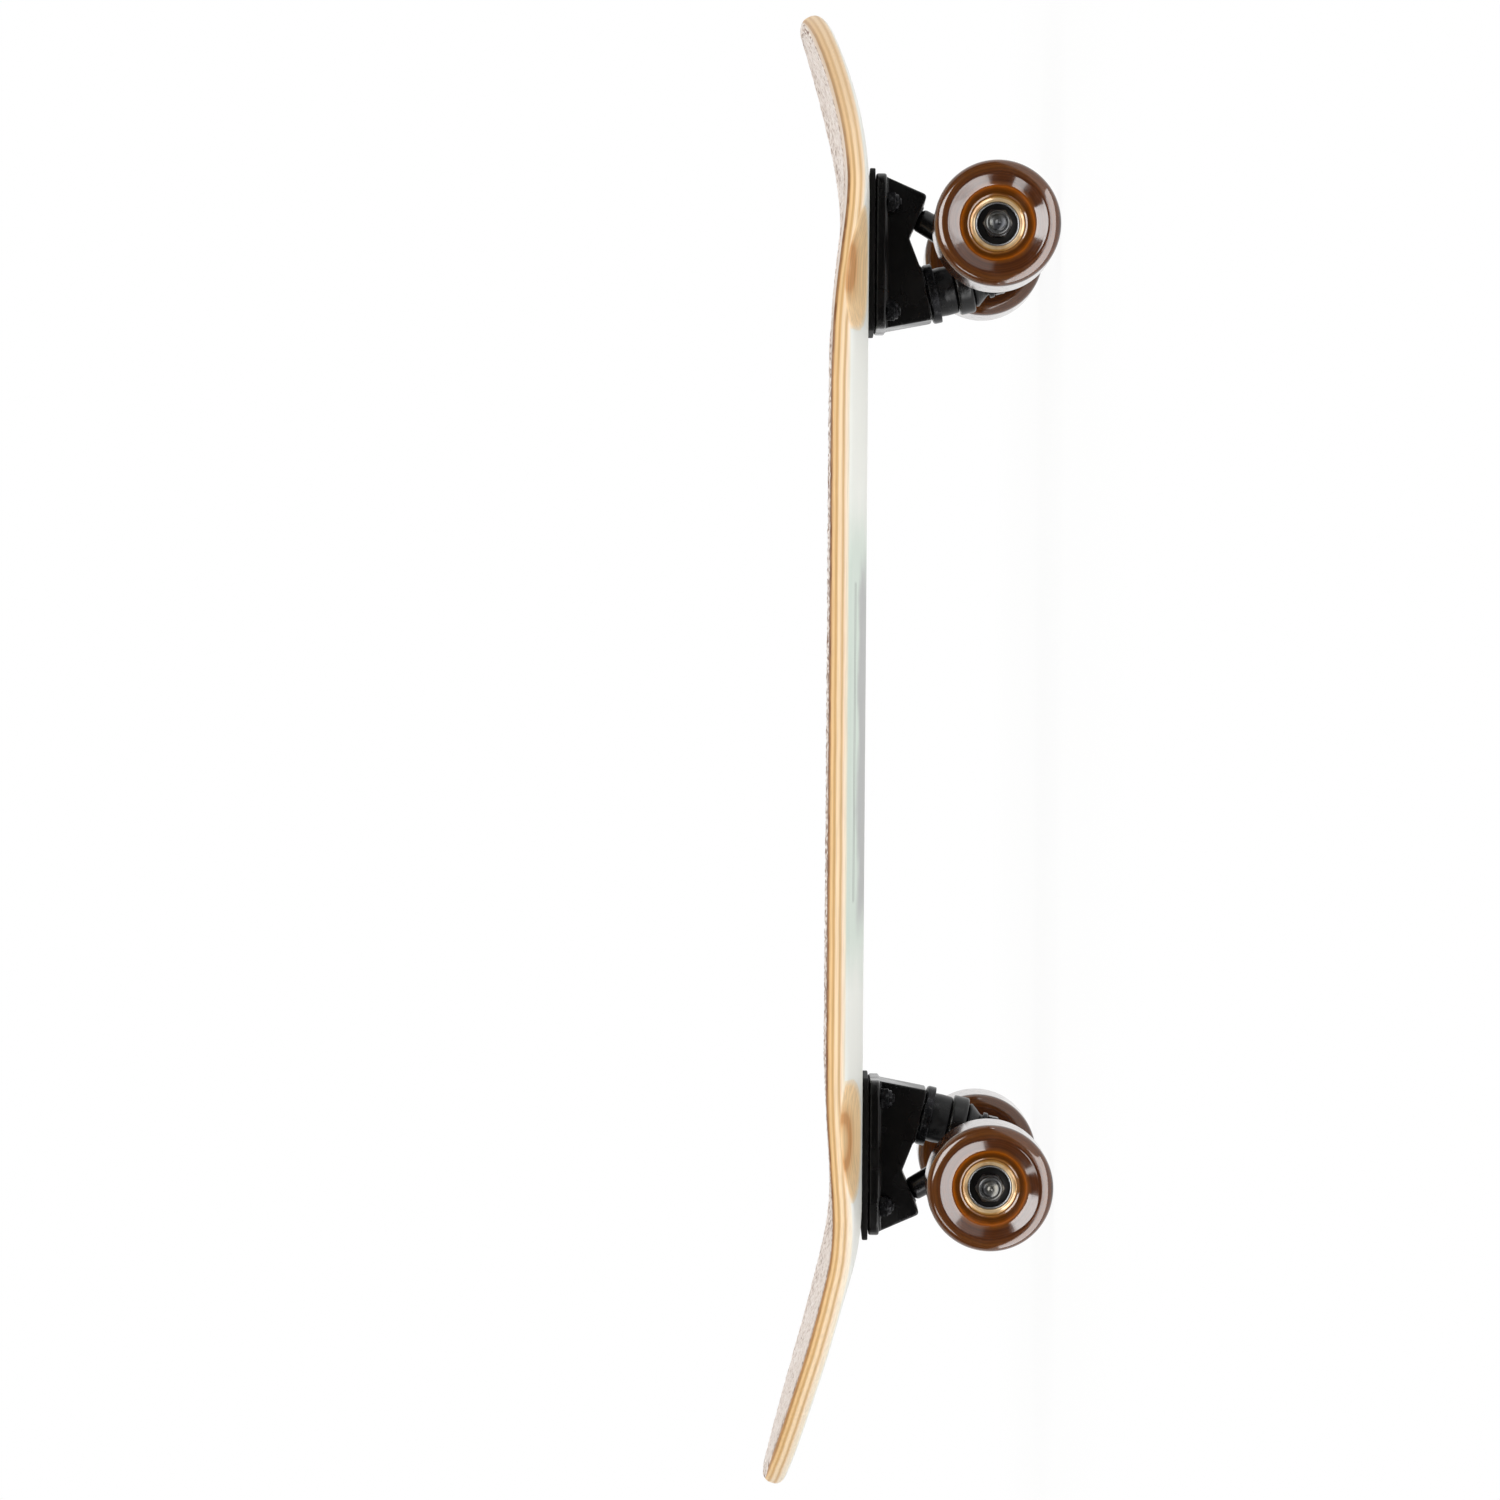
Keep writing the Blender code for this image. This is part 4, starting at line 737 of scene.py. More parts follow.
def core_finish(look):
    """Moulded gold nylon with a metallic pigment: a bright warm ring with a soft gloss."""
    made, add = new_finish("moulded_gold_nylon")
    place = add("TexCoord").outputs["Object"]
    # The ring darkens outwards, where a skin of urethane laps over it
    lap = add("MapRange", from_middle(add, place), 0.0105, 0.0140)
    gold = add("ValToRGB", lap, stops=[(0.0, "#8a7048"), (0.12, look.core), (0.45, look.core),
                                       (0.60, "#b08547"), (0.80, "#a06f30"), (1.0, "#83531f")])
    flow = add("TexNoise", place, 110.0, 4.0)
    dark = add("MapRange", flow, 0.45, 0.62, 0, 0.6, **SMOOTH)
    return surface(made, base_color=add("Mix", dark, gold, "#96621f", **COLOURS), metallic=0.3,
                   roughness=0.22, coat_weight=0.6, coat_roughness=0.08,
                   normal=add("Bump", 0.1, 0.0001, None, flow))


def race_finish():
    """Ground bearing steel: a bright ring with fine grinding marks."""
    made, add = new_finish("ground_bearing_steel")
    place = add("TexCoord").outputs["Object"]
    marks = add("TexWave", place, 900.0, 0.3, wave_type="RINGS", rings_direction="Z").outputs["Fac"]
    return surface(made, base_color=add("Mix", marks, "#8d8e90", "#b4b5b7", **COLOURS), metallic=1.0,
                   roughness=add("MapRange", marks, 0, 1, 0.16, 0.3, **SMOOTH))


def shield_finish(look):
    """Moulded rubber bearing shield: satin black with a fine moulded ring."""
    made, add = new_finish("black_bearing_shield")
    dust = add("TexNoise", add("TexCoord").outputs["Object"], 700.0, 4.0)
    pale = add("MapRange", dust, 0.5, 0.75, 0, 0.4, **SMOOTH)
    return surface(made, base_color=add("Mix", pale, look.shield, "#1a1816", **COLOURS), roughness=0.3,
                   specular_ior_level=0.12, normal=add("Bump", 0.2, 0.00006, None, dust))


# The board


def smooth_step(value):
    """Rises from 0 to 1 with a level start and end."""
    value = np.clip(value, 0, 1)
    return value * value * (3 - 2 * value)


def pressed(flat):
    """Flat board points, (along, across, height) in metres, bent to the pressed board's shape."""
    s, y, height = flat.T
    nose = s > 0
    outboard = np.where(nose, s - FRONT_X, REAR_X - s)
    start, low, end = CONCAVE_FADE
    to_truck = smooth_step((outboard - start) / (low - start))
    to_kick = smooth_step((outboard - low) / (end - low))
    at_truck = np.where(nose, *TRUCK_CONCAVE)
    at_kick = np.where(nose, *KICK_CONCAVE)
    depth = MIDDLE_CONCAVE + (at_truck - MIDDLE_CONCAVE) * to_truck + (at_kick - at_truck) * to_kick
    rise = np.maximum(np.abs(y) - FLAT_WIDTH / 2, 0) / ((DECK_WIDTH - FLAT_WIDTH) / 2)
    height = height + depth * rise * rise
    run = np.where(nose, s - NOSE_KICK_X, TAIL_KICK_X - s)
    kicked = run > 0
    radius = np.where(nose, NOSE_KICK_RADIUS, TAIL_KICK_RADIUS)
    turn = np.minimum(np.maximum(run, 0) / radius, np.where(nose, NOSE_KICK_ANGLE, TAIL_KICK_ANGLE))
    straight = run - radius * turn
    out = (radius - height) * np.sin(turn) + straight * np.cos(turn)
    up = radius - (radius - height) * np.cos(turn) + straight * np.sin(turn)
    bent = np.where(nose, NOSE_KICK_X + out, TAIL_KICK_X - out)
    return np.column_stack([np.where(kicked, bent, s), y, DECK_BOTTOM + np.where(kicked, up, height)])


def flat_tip(reach, radius, most):
    """How much flat board a kick takes up to stand out by its reach."""
    inner = radius - EDGE_ROUND
    reach -= EDGE_ROUND
    if reach <= inner * math.sin(most):
        return radius * math.asin(reach / inner) + EDGE_ROUND
    return radius * most + (reach - inner * math.sin(most)) / math.cos(most) + EDGE_ROUND


# The flat tips go a few tenths of a millimetre further out, which their rounding takes back
NOSE_REACH, TAIL_REACH = DECK_HIGH.x - NOSE_KICK_X + 0.0004, TAIL_KICK_X - DECK_LOW.x + 0.0003
NOSE_TIP = NOSE_KICK_X + flat_tip(NOSE_REACH, NOSE_KICK_RADIUS, NOSE_KICK_ANGLE)
TAIL_TIP = TAIL_KICK_X - flat_tip(TAIL_REACH, TAIL_KICK_RADIUS, TAIL_KICK_ANGLE)


def half_width(s):
    """Half the flat board's width: full along the middle, rounded at each end."""
    gone = np.where(s > 0, (NOSE_TIP - s) / NOSE_ROUND, (s - TAIL_TIP) / TAIL_ROUND)
    share = np.clip(1 - gone, 0, 1)
    return DECK_WIDTH / 2 * (1 - share ** END_FULLNESS) ** (1 / END_FULLNESS)


def board_stations(step):
    """Places along the flat board, a step apart and closer together at the ends and in the wells."""
    places = list(np.arange(TAIL_TIP, NOSE_TIP, step))
    # Even angles round each end, and 1.6 mm apart along the wells
    for tip, length, count in ((NOSE_TIP, NOSE_ROUND, 40), (TAIL_TIP, -TAIL_ROUND, 84)):
        angles = np.linspace(0, math.pi / 2, count + 1)
        places += list(tip - length * (1 - np.sin(angles) ** (2 / END_FULLNESS)))
    for well in (FRONT_X - WELL_OFFSET, REAR_X + WELL_OFFSET):
        places += list(np.arange(well - WELL_REACH, well + WELL_REACH, 0.0016))
    kept = [TAIL_TIP]
    for place in sorted(places):
        if place - kept[-1] > min(0.0008, step / 2) and NOSE_TIP - place > 0.0002:
            kept.append(place)
    return np.array([*kept, NOSE_TIP])


def scoop_depth(s, y, look):
    """How deep the wheel wells are at flat places, with a softened rim."""
    deepest = np.zeros_like(s)
    for truck_x, way, depth in ((FRONT_X, 1, look.nose_well), (REAR_X, -1, look.tail_well)):
        share = math.sqrt(1 - (1 - depth / WELL_BOWL) ** 2)
        along = (s - truck_x + way * WELL_OFFSET) / (WELL_LENGTH / 2 / share)
        across = (np.abs(y) - (DECK_WIDTH / 2 - WELL_FROM_RAIL)) / (WELL_WIDTH / 2 / share)
        bowl = np.sqrt(np.clip(1 - along ** 2 - across ** 2, 0, 1))
        raw = depth - WELL_BOWL * (1 - bowl)
        deepest = np.maximum(deepest, 0.5 * (raw + np.sqrt(raw ** 2 + WELL_RIM ** 2)))
    return np.where(deepest < WELL_RIM / 10, 0, deepest)


def unit(ways):
    """The same ways, each one long."""
    return ways / np.linalg.norm(ways, axis=1)[:, None]


def board_sheet(rim, top_shares, bottom_shares, step=0.003):
    """A flat sheet of the board's outline as a shape in millimetres.

    The rim is (inset, height, inset at the tips, height at the tips) from the top down.
    """
    stations = board_stations(step)
    count = len(stations)
    widths = half_width(stations)
    left = np.column_stack([stations, widths])
    outline = np.concatenate([left, (left * (1, -1))[1:-1][::-1]])
    along = unit(outline - np.roll(outline, 1, axis=0)) + unit(np.roll(outline, -1, axis=0) - outline)
    inward = unit(np.column_stack([along[:, 1], -along[:, 0]]))
    size = len(outline)
    from_tip = np.minimum(NOSE_TIP - outline[:, 0], outline[:, 0] - TAIL_TIP)
    tip = 1 - smooth_step(from_tip / 0.03)
    points, rings = [], []
    for inset, height, tip_inset, tip_height in rim:
        ring = outline + inward * (inset + (tip_inset - inset) * tip)[:, None]
        rings.append(list(range(len(rings) * size, (len(rings) + 1) * size)))
        points += [(x, y, z) for (x, y), z in zip(ring, height + (tip_height - height) * tip)]
    faces = skin(rings)
    for ring, shares in ((rings[0], top_shares), (rings[-1], bottom_shares)):
        rows = []
        for here in range(count):
            if here in (0, count - 1):
                rows.append([ring[here]] * (len(shares) + 2))
                continue
            x, y, height = points[ring[here]]
            inner = []
            for share in shares:
                inner.append(len(points))
                points.append((x, -share * y, height))
            rows.append([ring[here], *inner, ring[size - here]])
        faces += skin(rows, around=False)
    return np.array(points) / MM, faces


def keep(mesh, name, values):
    """Keeps a number for each point of a mesh, for its finish to read."""
    mesh.attributes.new(name, "FLOAT", "POINT").data.foreach_set("value", values.astype(np.float32))


def board_piece(name, sheet, hole, look, finish, scooped=True, grit=0.0):
    """A sheet of the board: cut flat, bored for the bolts, hollowed or gritted and then pressed."""
    made = new_object(name, sheet)
    combine(made, together(*[at_bolts(hole, truck_x / MM) for truck_x in (FRONT_X, REAR_X)]), "DIFFERENCE")
    mesh = made.data
    flat = np.zeros(len(mesh.vertices) * 3)
    mesh.vertices.foreach_get("co", flat)
    flat = flat.reshape(-1, 3)
    scoop = scoop_depth(flat[:, 0], flat[:, 1], look) if scooped else np.zeros(len(flat))
    flat[:, 2] = scoop + flat[:, 2] * (1 - scoop / look.thickness)
    if grit:
        # Small grains are commoner than large ones, and only the upper face has any
        grains = np.random.default_rng(5).random(len(flat)) ** 1.5
        # The same heights paint the grit's colour, paler on high grains and darker on low ones, as painted
        # light and shade
        keep(mesh, "grain", grains)
        flat[:, 2] += np.where(flat[:, 2] > look.thickness - 0.0001, grains * grit, 0)
    board = mesh.attributes.new("board", "FLOAT_VECTOR", "POINT")
    board.data.foreach_set("vector", flat.astype(np.float32).ravel())
    keep(mesh, "scoop", scoop)
    mesh.vertices.foreach_set("co", pressed(flat).ravel())
    mesh.update()
    fit(made, finish, "deck", sharp=50)


def rail_edge(top, bottom, thick):
    """An edge's (inset, height) points from its top round down to its bottom round."""
    down, under = np.linspace(0, math.pi / 2, 7), np.linspace(0, math.pi / 2, 8)
    return [*[(top * (1 - math.sin(angle)), thick - top * (1 - math.cos(angle))) for angle in down],
            *[(0.0, height) for height in np.linspace(thick - top, bottom, 9)[1:-1]],
            *[(bottom * (1 - math.cos(angle)), bottom * (1 - math.sin(angle))) for angle in under]]


class SKATE_OT_deck(bpy.types.Operator):
    """Builds the pressed maple deck with rounded rails, bolt holes and wheel wells"""
    bl_idname = "skateboard.deck"
    bl_label = "Deck"

    def execute(self, context):
        look = context.scene.skateboard_board
        rails = rail_edge(look.top_round, EDGE_ROUND, look.thickness)
        tips = rail_edge(look.tip_round, TIP_ROUND_BELOW, look.thickness)
        rim = [(*rail, *tip) for rail, tip in zip(rails, tips)]
        # Rows along the board, as shares of its width, lie closest together where the wells are
        well_rows = np.linspace(0.47, 0.99, 30)
        rows_below = np.concatenate([-well_rows[::-1], np.linspace(-0.44, 0.44, 22), well_rows])
        sheet = board_sheet(rim, np.linspace(-0.96, 0.96, 24), rows_below)
        sink, above, below = 4.9, 12, -2
        hole = [(0, above), (sink, above), (sink, 9.7), (BOLT_HOLE, 7.5), (BOLT_HOLE, below), (0, below)]
        board_piece("deck", sheet, turned(hole, 32), look, maple_finish(look))
        return {"FINISHED"}


class SKATE_OT_grip(bpy.types.Operator):
    """Lays the grip sheet on the deck"""
    bl_idname = "skateboard.grip"
    bl_label = "Grip"

    def execute(self, context):
        look = context.scene.skateboard_board
        thick, inset = look.thickness, look.grip_inset
        low, high = thick - 0.0003, thick + look.grip_thickness
        # At the tips the grip follows the deck's rounded edge
        rim = [(inset + 0.004, high, 0.0058, high), (inset + 0.002, high, 0.0040, high - 0.0001),
               (inset + 0.001, high, 0.0028, high - 0.0004),
               (inset + 0.0003, high - 0.0001, 0.0018, high - 0.0010),
               (inset, high - 0.0003, 0.0012, high - 0.0017), (inset, low, 0.0013, low - 0.0014)]
        # Points 1.4 mm apart, one for each grain
        sheet = board_sheet(rim, np.linspace(-0.985, 0.985, 140), np.linspace(-0.96, 0.96, 24), 0.0014)
        board_piece("grip", sheet, rod(5.2, 14, 8, 32), look, grit_finish(look),
                    scooped=False, grit=look.grit_height)
        return {"FINISHED"}


# The trucks


class SKATE_OT_riser_pads(bpy.types.Operator):
    """Builds the rubber pads between the deck and the trucks"""
    bl_idname = "skateboard.riser_pads"
    bl_label = "Riser pads"

    def execute(self, context):
        finish = rubber_finish(context.scene.skateboard_truck)
        for end, place in TRUCKS.items():
            pad = plate(-37.2, 43.8, width=56, corner=6, top=3.1, bottom=0.3, edge=0.5)
            made = new_object(end + "_riser_pad", pad)
            combine(made, at_bolts(BOLT_BORE), "DIFFERENCE")
            fit(made, finish, "deck", place)
        return {"FINISHED"}


def leaning_room(profile):
    """A turned profile that widens across the truck with height, so that the pivot can lean in it."""
    def widened(radius):
        return lambda angles, height: radius + PIVOT_LEAN * max(height, 0) * np.abs(np.sin(angles))
    return [(widened(radius) if radius else 0, height) for radius, height in profile]


def baseplate_casting(name):
    """The cast baseplate: flange, kingpin seat, web and pivot block, bored and softened."""
    made = new_object(name, plate(-PLATE_INBOARD, 41.5, width=54, corner=7, top=0,
                                  bottom=-PLATE_THICKNESS, edge=0.9))
    inside = PLATE_THICKNESS / 2
    half = 13.6
    run, rise = half * math.cos(KINGPIN_TILT), half * math.sin(KINGPIN_TILT)
    seat_in, seat_out = (SEAT_X - run, SEAT_DEPTH + rise), (SEAT_X + run, SEAT_DEPTH - rise)
    seat = [(seat_in[0] - 5, inside), seat_in, seat_out, (seat_out[0] + 4, inside)]
    # Half the width of the seat, web and pivot block, and how fast it narrows with depth
    side = (14.27, 0.02)
    combine(made, block(seat, *side, round_by=1.2), "UNION")
    # The pivot block's mouth is one flat face from the web's notch to its outer corner
    mouth_in, mouth_out = (10.2, 16.85), (31.6, 25.9)
    pivot = [(14, inside), (14, 18.5), mouth_out, (41.7, inside)]
    combine(made, block(pivot, *side, round_by=1.9), "UNION")
    below = 0.6
    web = [(SEAT_X, inside), (SEAT_X, SEAT_DEPTH - below), (seat_out[0] - below, seat_out[1] - below),
           mouth_in, (18, 20.1), (21, inside)]
    combine(made, block(web, *side, round_by=1.5), "UNION")
    head_room, cup = 8.9, 6.9
    cup_bore = leaning_room([(0, -cup), (cup, -cup), (cup, 0), (cup, 24), (0, 24)])
    for bore in (placed(rod(KINGPIN_HOLE, -26, 26), KINGPIN_FRAME),
                 placed(rod(head_room, -52, -16.7), KINGPIN_FRAME),
                 placed(turned(cup_bore, 48), PIVOT_FRAME), at_bolts(BOLT_BORE)):
        combine(made, bore, "DIFFERENCE")
    cast(made, grain=0.5, smoothing=5)
    return made


class SKATE_OT_baseplates(bpy.types.Operator):
    """Builds the cast baseplates"""
    bl_idname = "skateboard.baseplates"
    bl_label = "Baseplates"

    def execute(self, context):
        finish = truck_paint_finish(context.scene.skateboard_truck)
        for end, place in TRUCKS.items():
            made = baseplate_casting(end + "_baseplate")
            fit(made, finish, "deck", place, sharp=75)
        return {"FINISHED"}


class SKATE_OT_mounting_hardware(bpy.types.Operator):
    """Builds the countersunk bolts and the lock nuts that hold the trucks"""
    bl_idname = "skateboard.mounting_hardware"
    bl_label = "Mounting hardware"

    def execute(self, context):
        finish = black_oxide_finish(context.scene.skateboard_truck)
        top = (DECK_BOTTOM + context.scene.skateboard_board.thickness - TRUCK_Z) / MM
        nut_height, nut_gap = 5.9, 0.3
        nut_start = PLATE_THICKNESS + nut_gap
        depth = nut_start + nut_height
        socket, head = hexagon(3.0, 9.0), 4.6
        bolt = [(0, top - 1.7), (socket, top - 1.7), (socket, top - 0.15), (1.9, top), (head - 0.2, top),
                (head, top - 0.15), (head, top - 0.5), (BOLT, top - 2.7), (BOLT, 1 - depth)]
        thread_end = threaded_end(BOLT, depth - 0.9, depth + 1.2, pitch=0.8, depth=0.3)
        bolt += [(reach, -height) for reach, height in thread_end]
        upside_down = Matrix.Translation((0, 0, -nut_start)) @ Matrix.Rotation(math.pi, 4, "X")
        nut = hex_nut(9.5, 0, nut_height, bore=2.42, collar=(4.1, 1.7), facets=48)
        for end, place in TRUCKS.items():
            for kind, shape in (("bolt", turned(bolt, 48)), ("nut", placed(nut, upside_down))):
                names = [f"{end}_mounting_{kind}_{number}" for number in (1, 2, 3, 4)]
                made = new_object(f"{end}_mounting_{kind}s", at_bolts(shape))
                fit(made, finish, "deck", place, names)
        return {"FINISHED"}


def kingpin_shapes():
    """The steel pieces round the kingpin, by name, in heights from the baseplate's seat."""
    flats, hole = 14.3, KINGPIN_HOLE
    head = hexagon(flats, 8.0)
    pin = [(0, -22), (head, -22), (head, -17), (KINGPIN, -17), (KINGPIN, 33)]
    pin += threaded_end(KINGPIN, 33.1, 42.5, pitch=1.06, depth=0.5)
    board_cup = [(hole, 0.3), (15, 0.3), (15, 5.0), (13.4, 5.0), (13.4, 2.0), (hole, 2.0)]
    road_cup = [(hole, 31.6), (6.95, 31.6), (6.95, 30.85), (8.2, 30.85), (8.2, 33.3), (hole, 33.3)]
    return {
        "kingpin": turned(pin, 72),
        "kingpin_nut": hex_nut(flats, 33.6, 6.9, bore=4.85, collar=(6.5, 1.7)),
        "board_cup_washer": rounded_ring(board_cup, [0.2, 1.3, 0.5, 0.5, 0.5, 0.2]),
        "road_cup_washer": rounded_ring(road_cup, [0.2, 0.2, 0.3, 0.4, 0.8, 0.2], facets=64, steps=4),
    }


def bushing_shapes():
    """The urethane pieces round the kingpin, a barrel above the ring and a cone below it, by name.

    Each comes with the heights where it rests on its cup washer and on the ring.
    """
    hole, neck = KINGPIN_HOLE, 9.0
    barrel = [(hole, 2.3), (12.0, 2.3), (12.3, 8.3), (12.0, 14.3), (neck, 14.3), (neck, 18.3), (hole, 18.3)]
    cone = [(hole, 19.0), (neck, 19.0), (neck, 23.0), (12.3, 23.0), (6.6, 29.8), (6.6, 31.3), (hole, 31.3)]
    return {
        "barrel_bushing": (rounded_ring(barrel, [0.3, 1.1, 9, 1.1, 0.3, 0.4, 0.3]), 2.3, 14.6),
        "cone_bushing": (rounded_ring(cone, [0.3, 0.4, 0.3, 1.2, 2.0, 0.3, 0.2]), 31.3, 22.7),
    }


def hanger_casting(name):
    """The cast hanger: axle beam, kingpin ring, winged yoke and pivot arm, bored and softened."""
    half = HANGER_HALF
    beam = [(0, -half), (6.5, -half), (6.6, 0.2 - half), (7.2, 5 - half), (7.25, 9 - half), (8, 30 - half)]
    made = new_object(name, placed(turned(beam + flipped(beam), 64), on_axle(0)))
    wide, top, bottom = 13.5, 14.6, 22.7
    ring = rounded([(0, top), (wide, top), (wide, bottom), (0, bottom)], [0, 0.8, 1.2, 0])
    combine(made, placed(turned(ring, 64), KINGPIN_FRAME), "UNION")
    to_axle = KINGPIN_FRAME.inverted() @ AXLE_POINT
    way = math.copysign(1, to_axle.x)
    near_x, far_x = way * 11.4, to_axle.x + way * 1.5
    low, high = to_axle.z - 5.6, to_axle.z + 4.8
    yoke_top, yoke_bottom = 15.0, 18.65
    loops = []
    for share in np.linspace(0, 1, 9):
        # The wings flare slightly faster near the axle, as cast ones do
        wide = 7.5 + 28.5 * (0.75 * share + 0.25 * share ** 2.5)
        x = near_x + (far_x - near_x) * share
        top = yoke_top + (low - yoke_top) * share
        bottom = yoke_bottom + (high - yoke_bottom) * share
        section = rounded([(-wide, top), (wide, top), (wide, bottom), (-wide, bottom)],
                          min(2.0, (bottom - top) * 0.35), closed=True, steps=3)
        loops.append([(x, y, z) for y, z in section])
    combine(made, placed(stacked(loops), KINGPIN_FRAME), "UNION")
    # The pivot arm: its round tip, the tip's neck, the root that fills out and the bend to the axle
    elbow = PIVOT_TIP + PIVOT_LINE * 27
    arm = [(PIVOT_TIP - PIVOT_LINE * PIVOT_TIP_RADIUS * past, PIVOT_TIP_RADIUS * thick)
           for past, thick in ((1.0, 0.3), (0.9, 0.5), (0.7, 0.72), (0.35, 0.94), (0.0, 1.0))]
    arm += [(PIVOT_TIP + PIVOT_LINE * along, radius)
            for along, radius in ((11.8, 4.4), (12.4, 5.5), (13.4, 6.0))]
    arm += [(elbow, 6.5), (elbow.lerp(AXLE_POINT, 0.5), 6.8), (AXLE_POINT, 7.4)]
    combine(made, swept(arm), "UNION")
    bushing_room, axle_room = 9.3, 4.3
    combine(made, placed(rod(bushing_room, 10.6, 23.7, 64), KINGPIN_FRAME), "DIFFERENCE")
    combine(made, placed(rod(axle_room, -90, 90), on_axle(0)), "DIFFERENCE")
    cast(made, grain=0.5, smoothing=4)
    return made


class SKATE_OT_hangers(bpy.types.Operator):
    """Builds the cast hangers that steer"""
    bl_idname = "skateboard.hangers"
    bl_label = "Hangers"

    def execute(self, context):
        finish = truck_paint_finish(context.scene.skateboard_truck)
        for end, place in TRUCKS.items():
            made = hanger_casting(end + "_hanger")
            fit(made, finish, end + "_hanger", place, sharp=75)
        return {"FINISHED"}


class SKATE_OT_kingpins(bpy.types.Operator):
    """Builds the kingpins with their cup washers and lock nuts"""
    bl_idname = "skateboard.kingpins"
    bl_label = "Kingpins"

    def execute(self, context):
        finish = black_oxide_finish(context.scene.skateboard_truck)
        for end, place in TRUCKS.items():
            for name, shape in kingpin_shapes().items():
                made = new_object(f"{end}_{name}", shape)
                fit(made, finish, "deck", place @ in_metres(KINGPIN_FRAME))
        return {"FINISHED"}


class SKATE_OT_bushings(bpy.types.Operator):
    """Builds the bushings and pivot cups"""
    bl_idname = "skateboard.bushings"
    bl_label = "Bushings and pivot cups"

    def execute(self, context):
        finish = bushing_finish(context.scene.skateboard_truck)
        # The cup's outside up to its lip, then its inside down to the round bottom under the tip
        cup = [(0, -6.6), (6.6, -6.6), (6.6, 10.0), (6.2, 10.6), (6.2, 11.6), (5.3, 11.6), (4.8, 10.6),
               (4.7, 0), (4.4, -1.7), (3.6, -3.1), (2.4, -4.1), (0.9, -4.7), (0, -4.75)]
        cup = rounded(cup, [0, 1.2, 0.2, 0.3, 0.5, 0.2, 0.2, 0, 0, 0, 0, 0, 0])
        for end, place in TRUCKS.items():
            where = place @ in_metres(KINGPIN_FRAME)
            for name, (shape, *rests) in bushing_shapes().items():
                on_cup, on_ring = [where @ Vector((0, 0, height * MM)) for height in rests]
                fit(new_object(f"{end}_{name}", shape), finish, place=where,
                    between=("deck", end + "_hanger", on_cup, on_ring))
            made = new_object(end + "_pivot_cup", turned(leaning_room(cup), 48))
            fit(made, finish, "deck", place @ in_metres(PIVOT_FRAME))
        return {"FINISHED"}


class SKATE_OT_axles(bpy.types.Operator):
    """Builds the axles, their speed washers, nuts and bearing spacers"""
    bl_idname = "skateboard.axles"
    bl_label = "Axles"

    def execute(self, context):
        finish = zinc_finish(context.scene.skateboard_truck)
        race = race_finish()
        collar = [(4, 69.8), (5.3, 69.8), (5.6, 70.0), (5.6, 70.6), (5.3, 70.8), (4, 70.8)]
        half = [*collar, (4, 95), *threaded_end(4, 95.2, AXLE_END, pitch=1.06, depth=0.5)]
        nut = hex_nut(12.7, 1.0, 6.0, bore=4.05, collar=(5.8, 1.9), chamfer=1.6)
        washer = rounded_ring([(4.3, 0), (5.6, 0), (5.6, 1.0), (4.3, 1.0)], 0.25, facets=64)
        nut_and_washer = together(nut, washer)
        # Both inner races and the spacer between them, on one sleeve
        sleeve = [(4.3, 0.3), (4.6, 0), (5.8, 0), (6.1, 0.3), (6.1, BEARING_WIDTH), (5, BEARING_WIDTH)]
        sleeve += [(radius, STACK_LENGTH - height) for radius, height in sleeve[::-1]]
        for end, place in TRUCKS.items():
            body = end + "_hanger"
            made = new_object(end + "_axle", turned(flipped(half) + [(4, 0)] + half, 64))
            fit(made, finish, body, place @ in_metres(on_axle(0)))
            for side in (1, -1):
                prefix = side_prefix(end, side)
                where = place @ in_metres(on_axle(AXLE_NUT_START, side))
                made = new_object(prefix + "axle_nut", nut_and_washer)
                fit(made, finish, body, where)
                where = place @ in_metres(on_axle(STACK_START, side))
                made = new_object(prefix + "bearing_spacer", turned(sleeve, 64, closed=True))
                fit(made, race, body, where)
        return {"FINISHED"}


def side_prefix(end, side):
    """The rider's left or right; the rear truck is the front one turned round."""
    return f"{end}_{'left' if (side > 0) == (end == 'front') else 'right'}_"


# The wheels


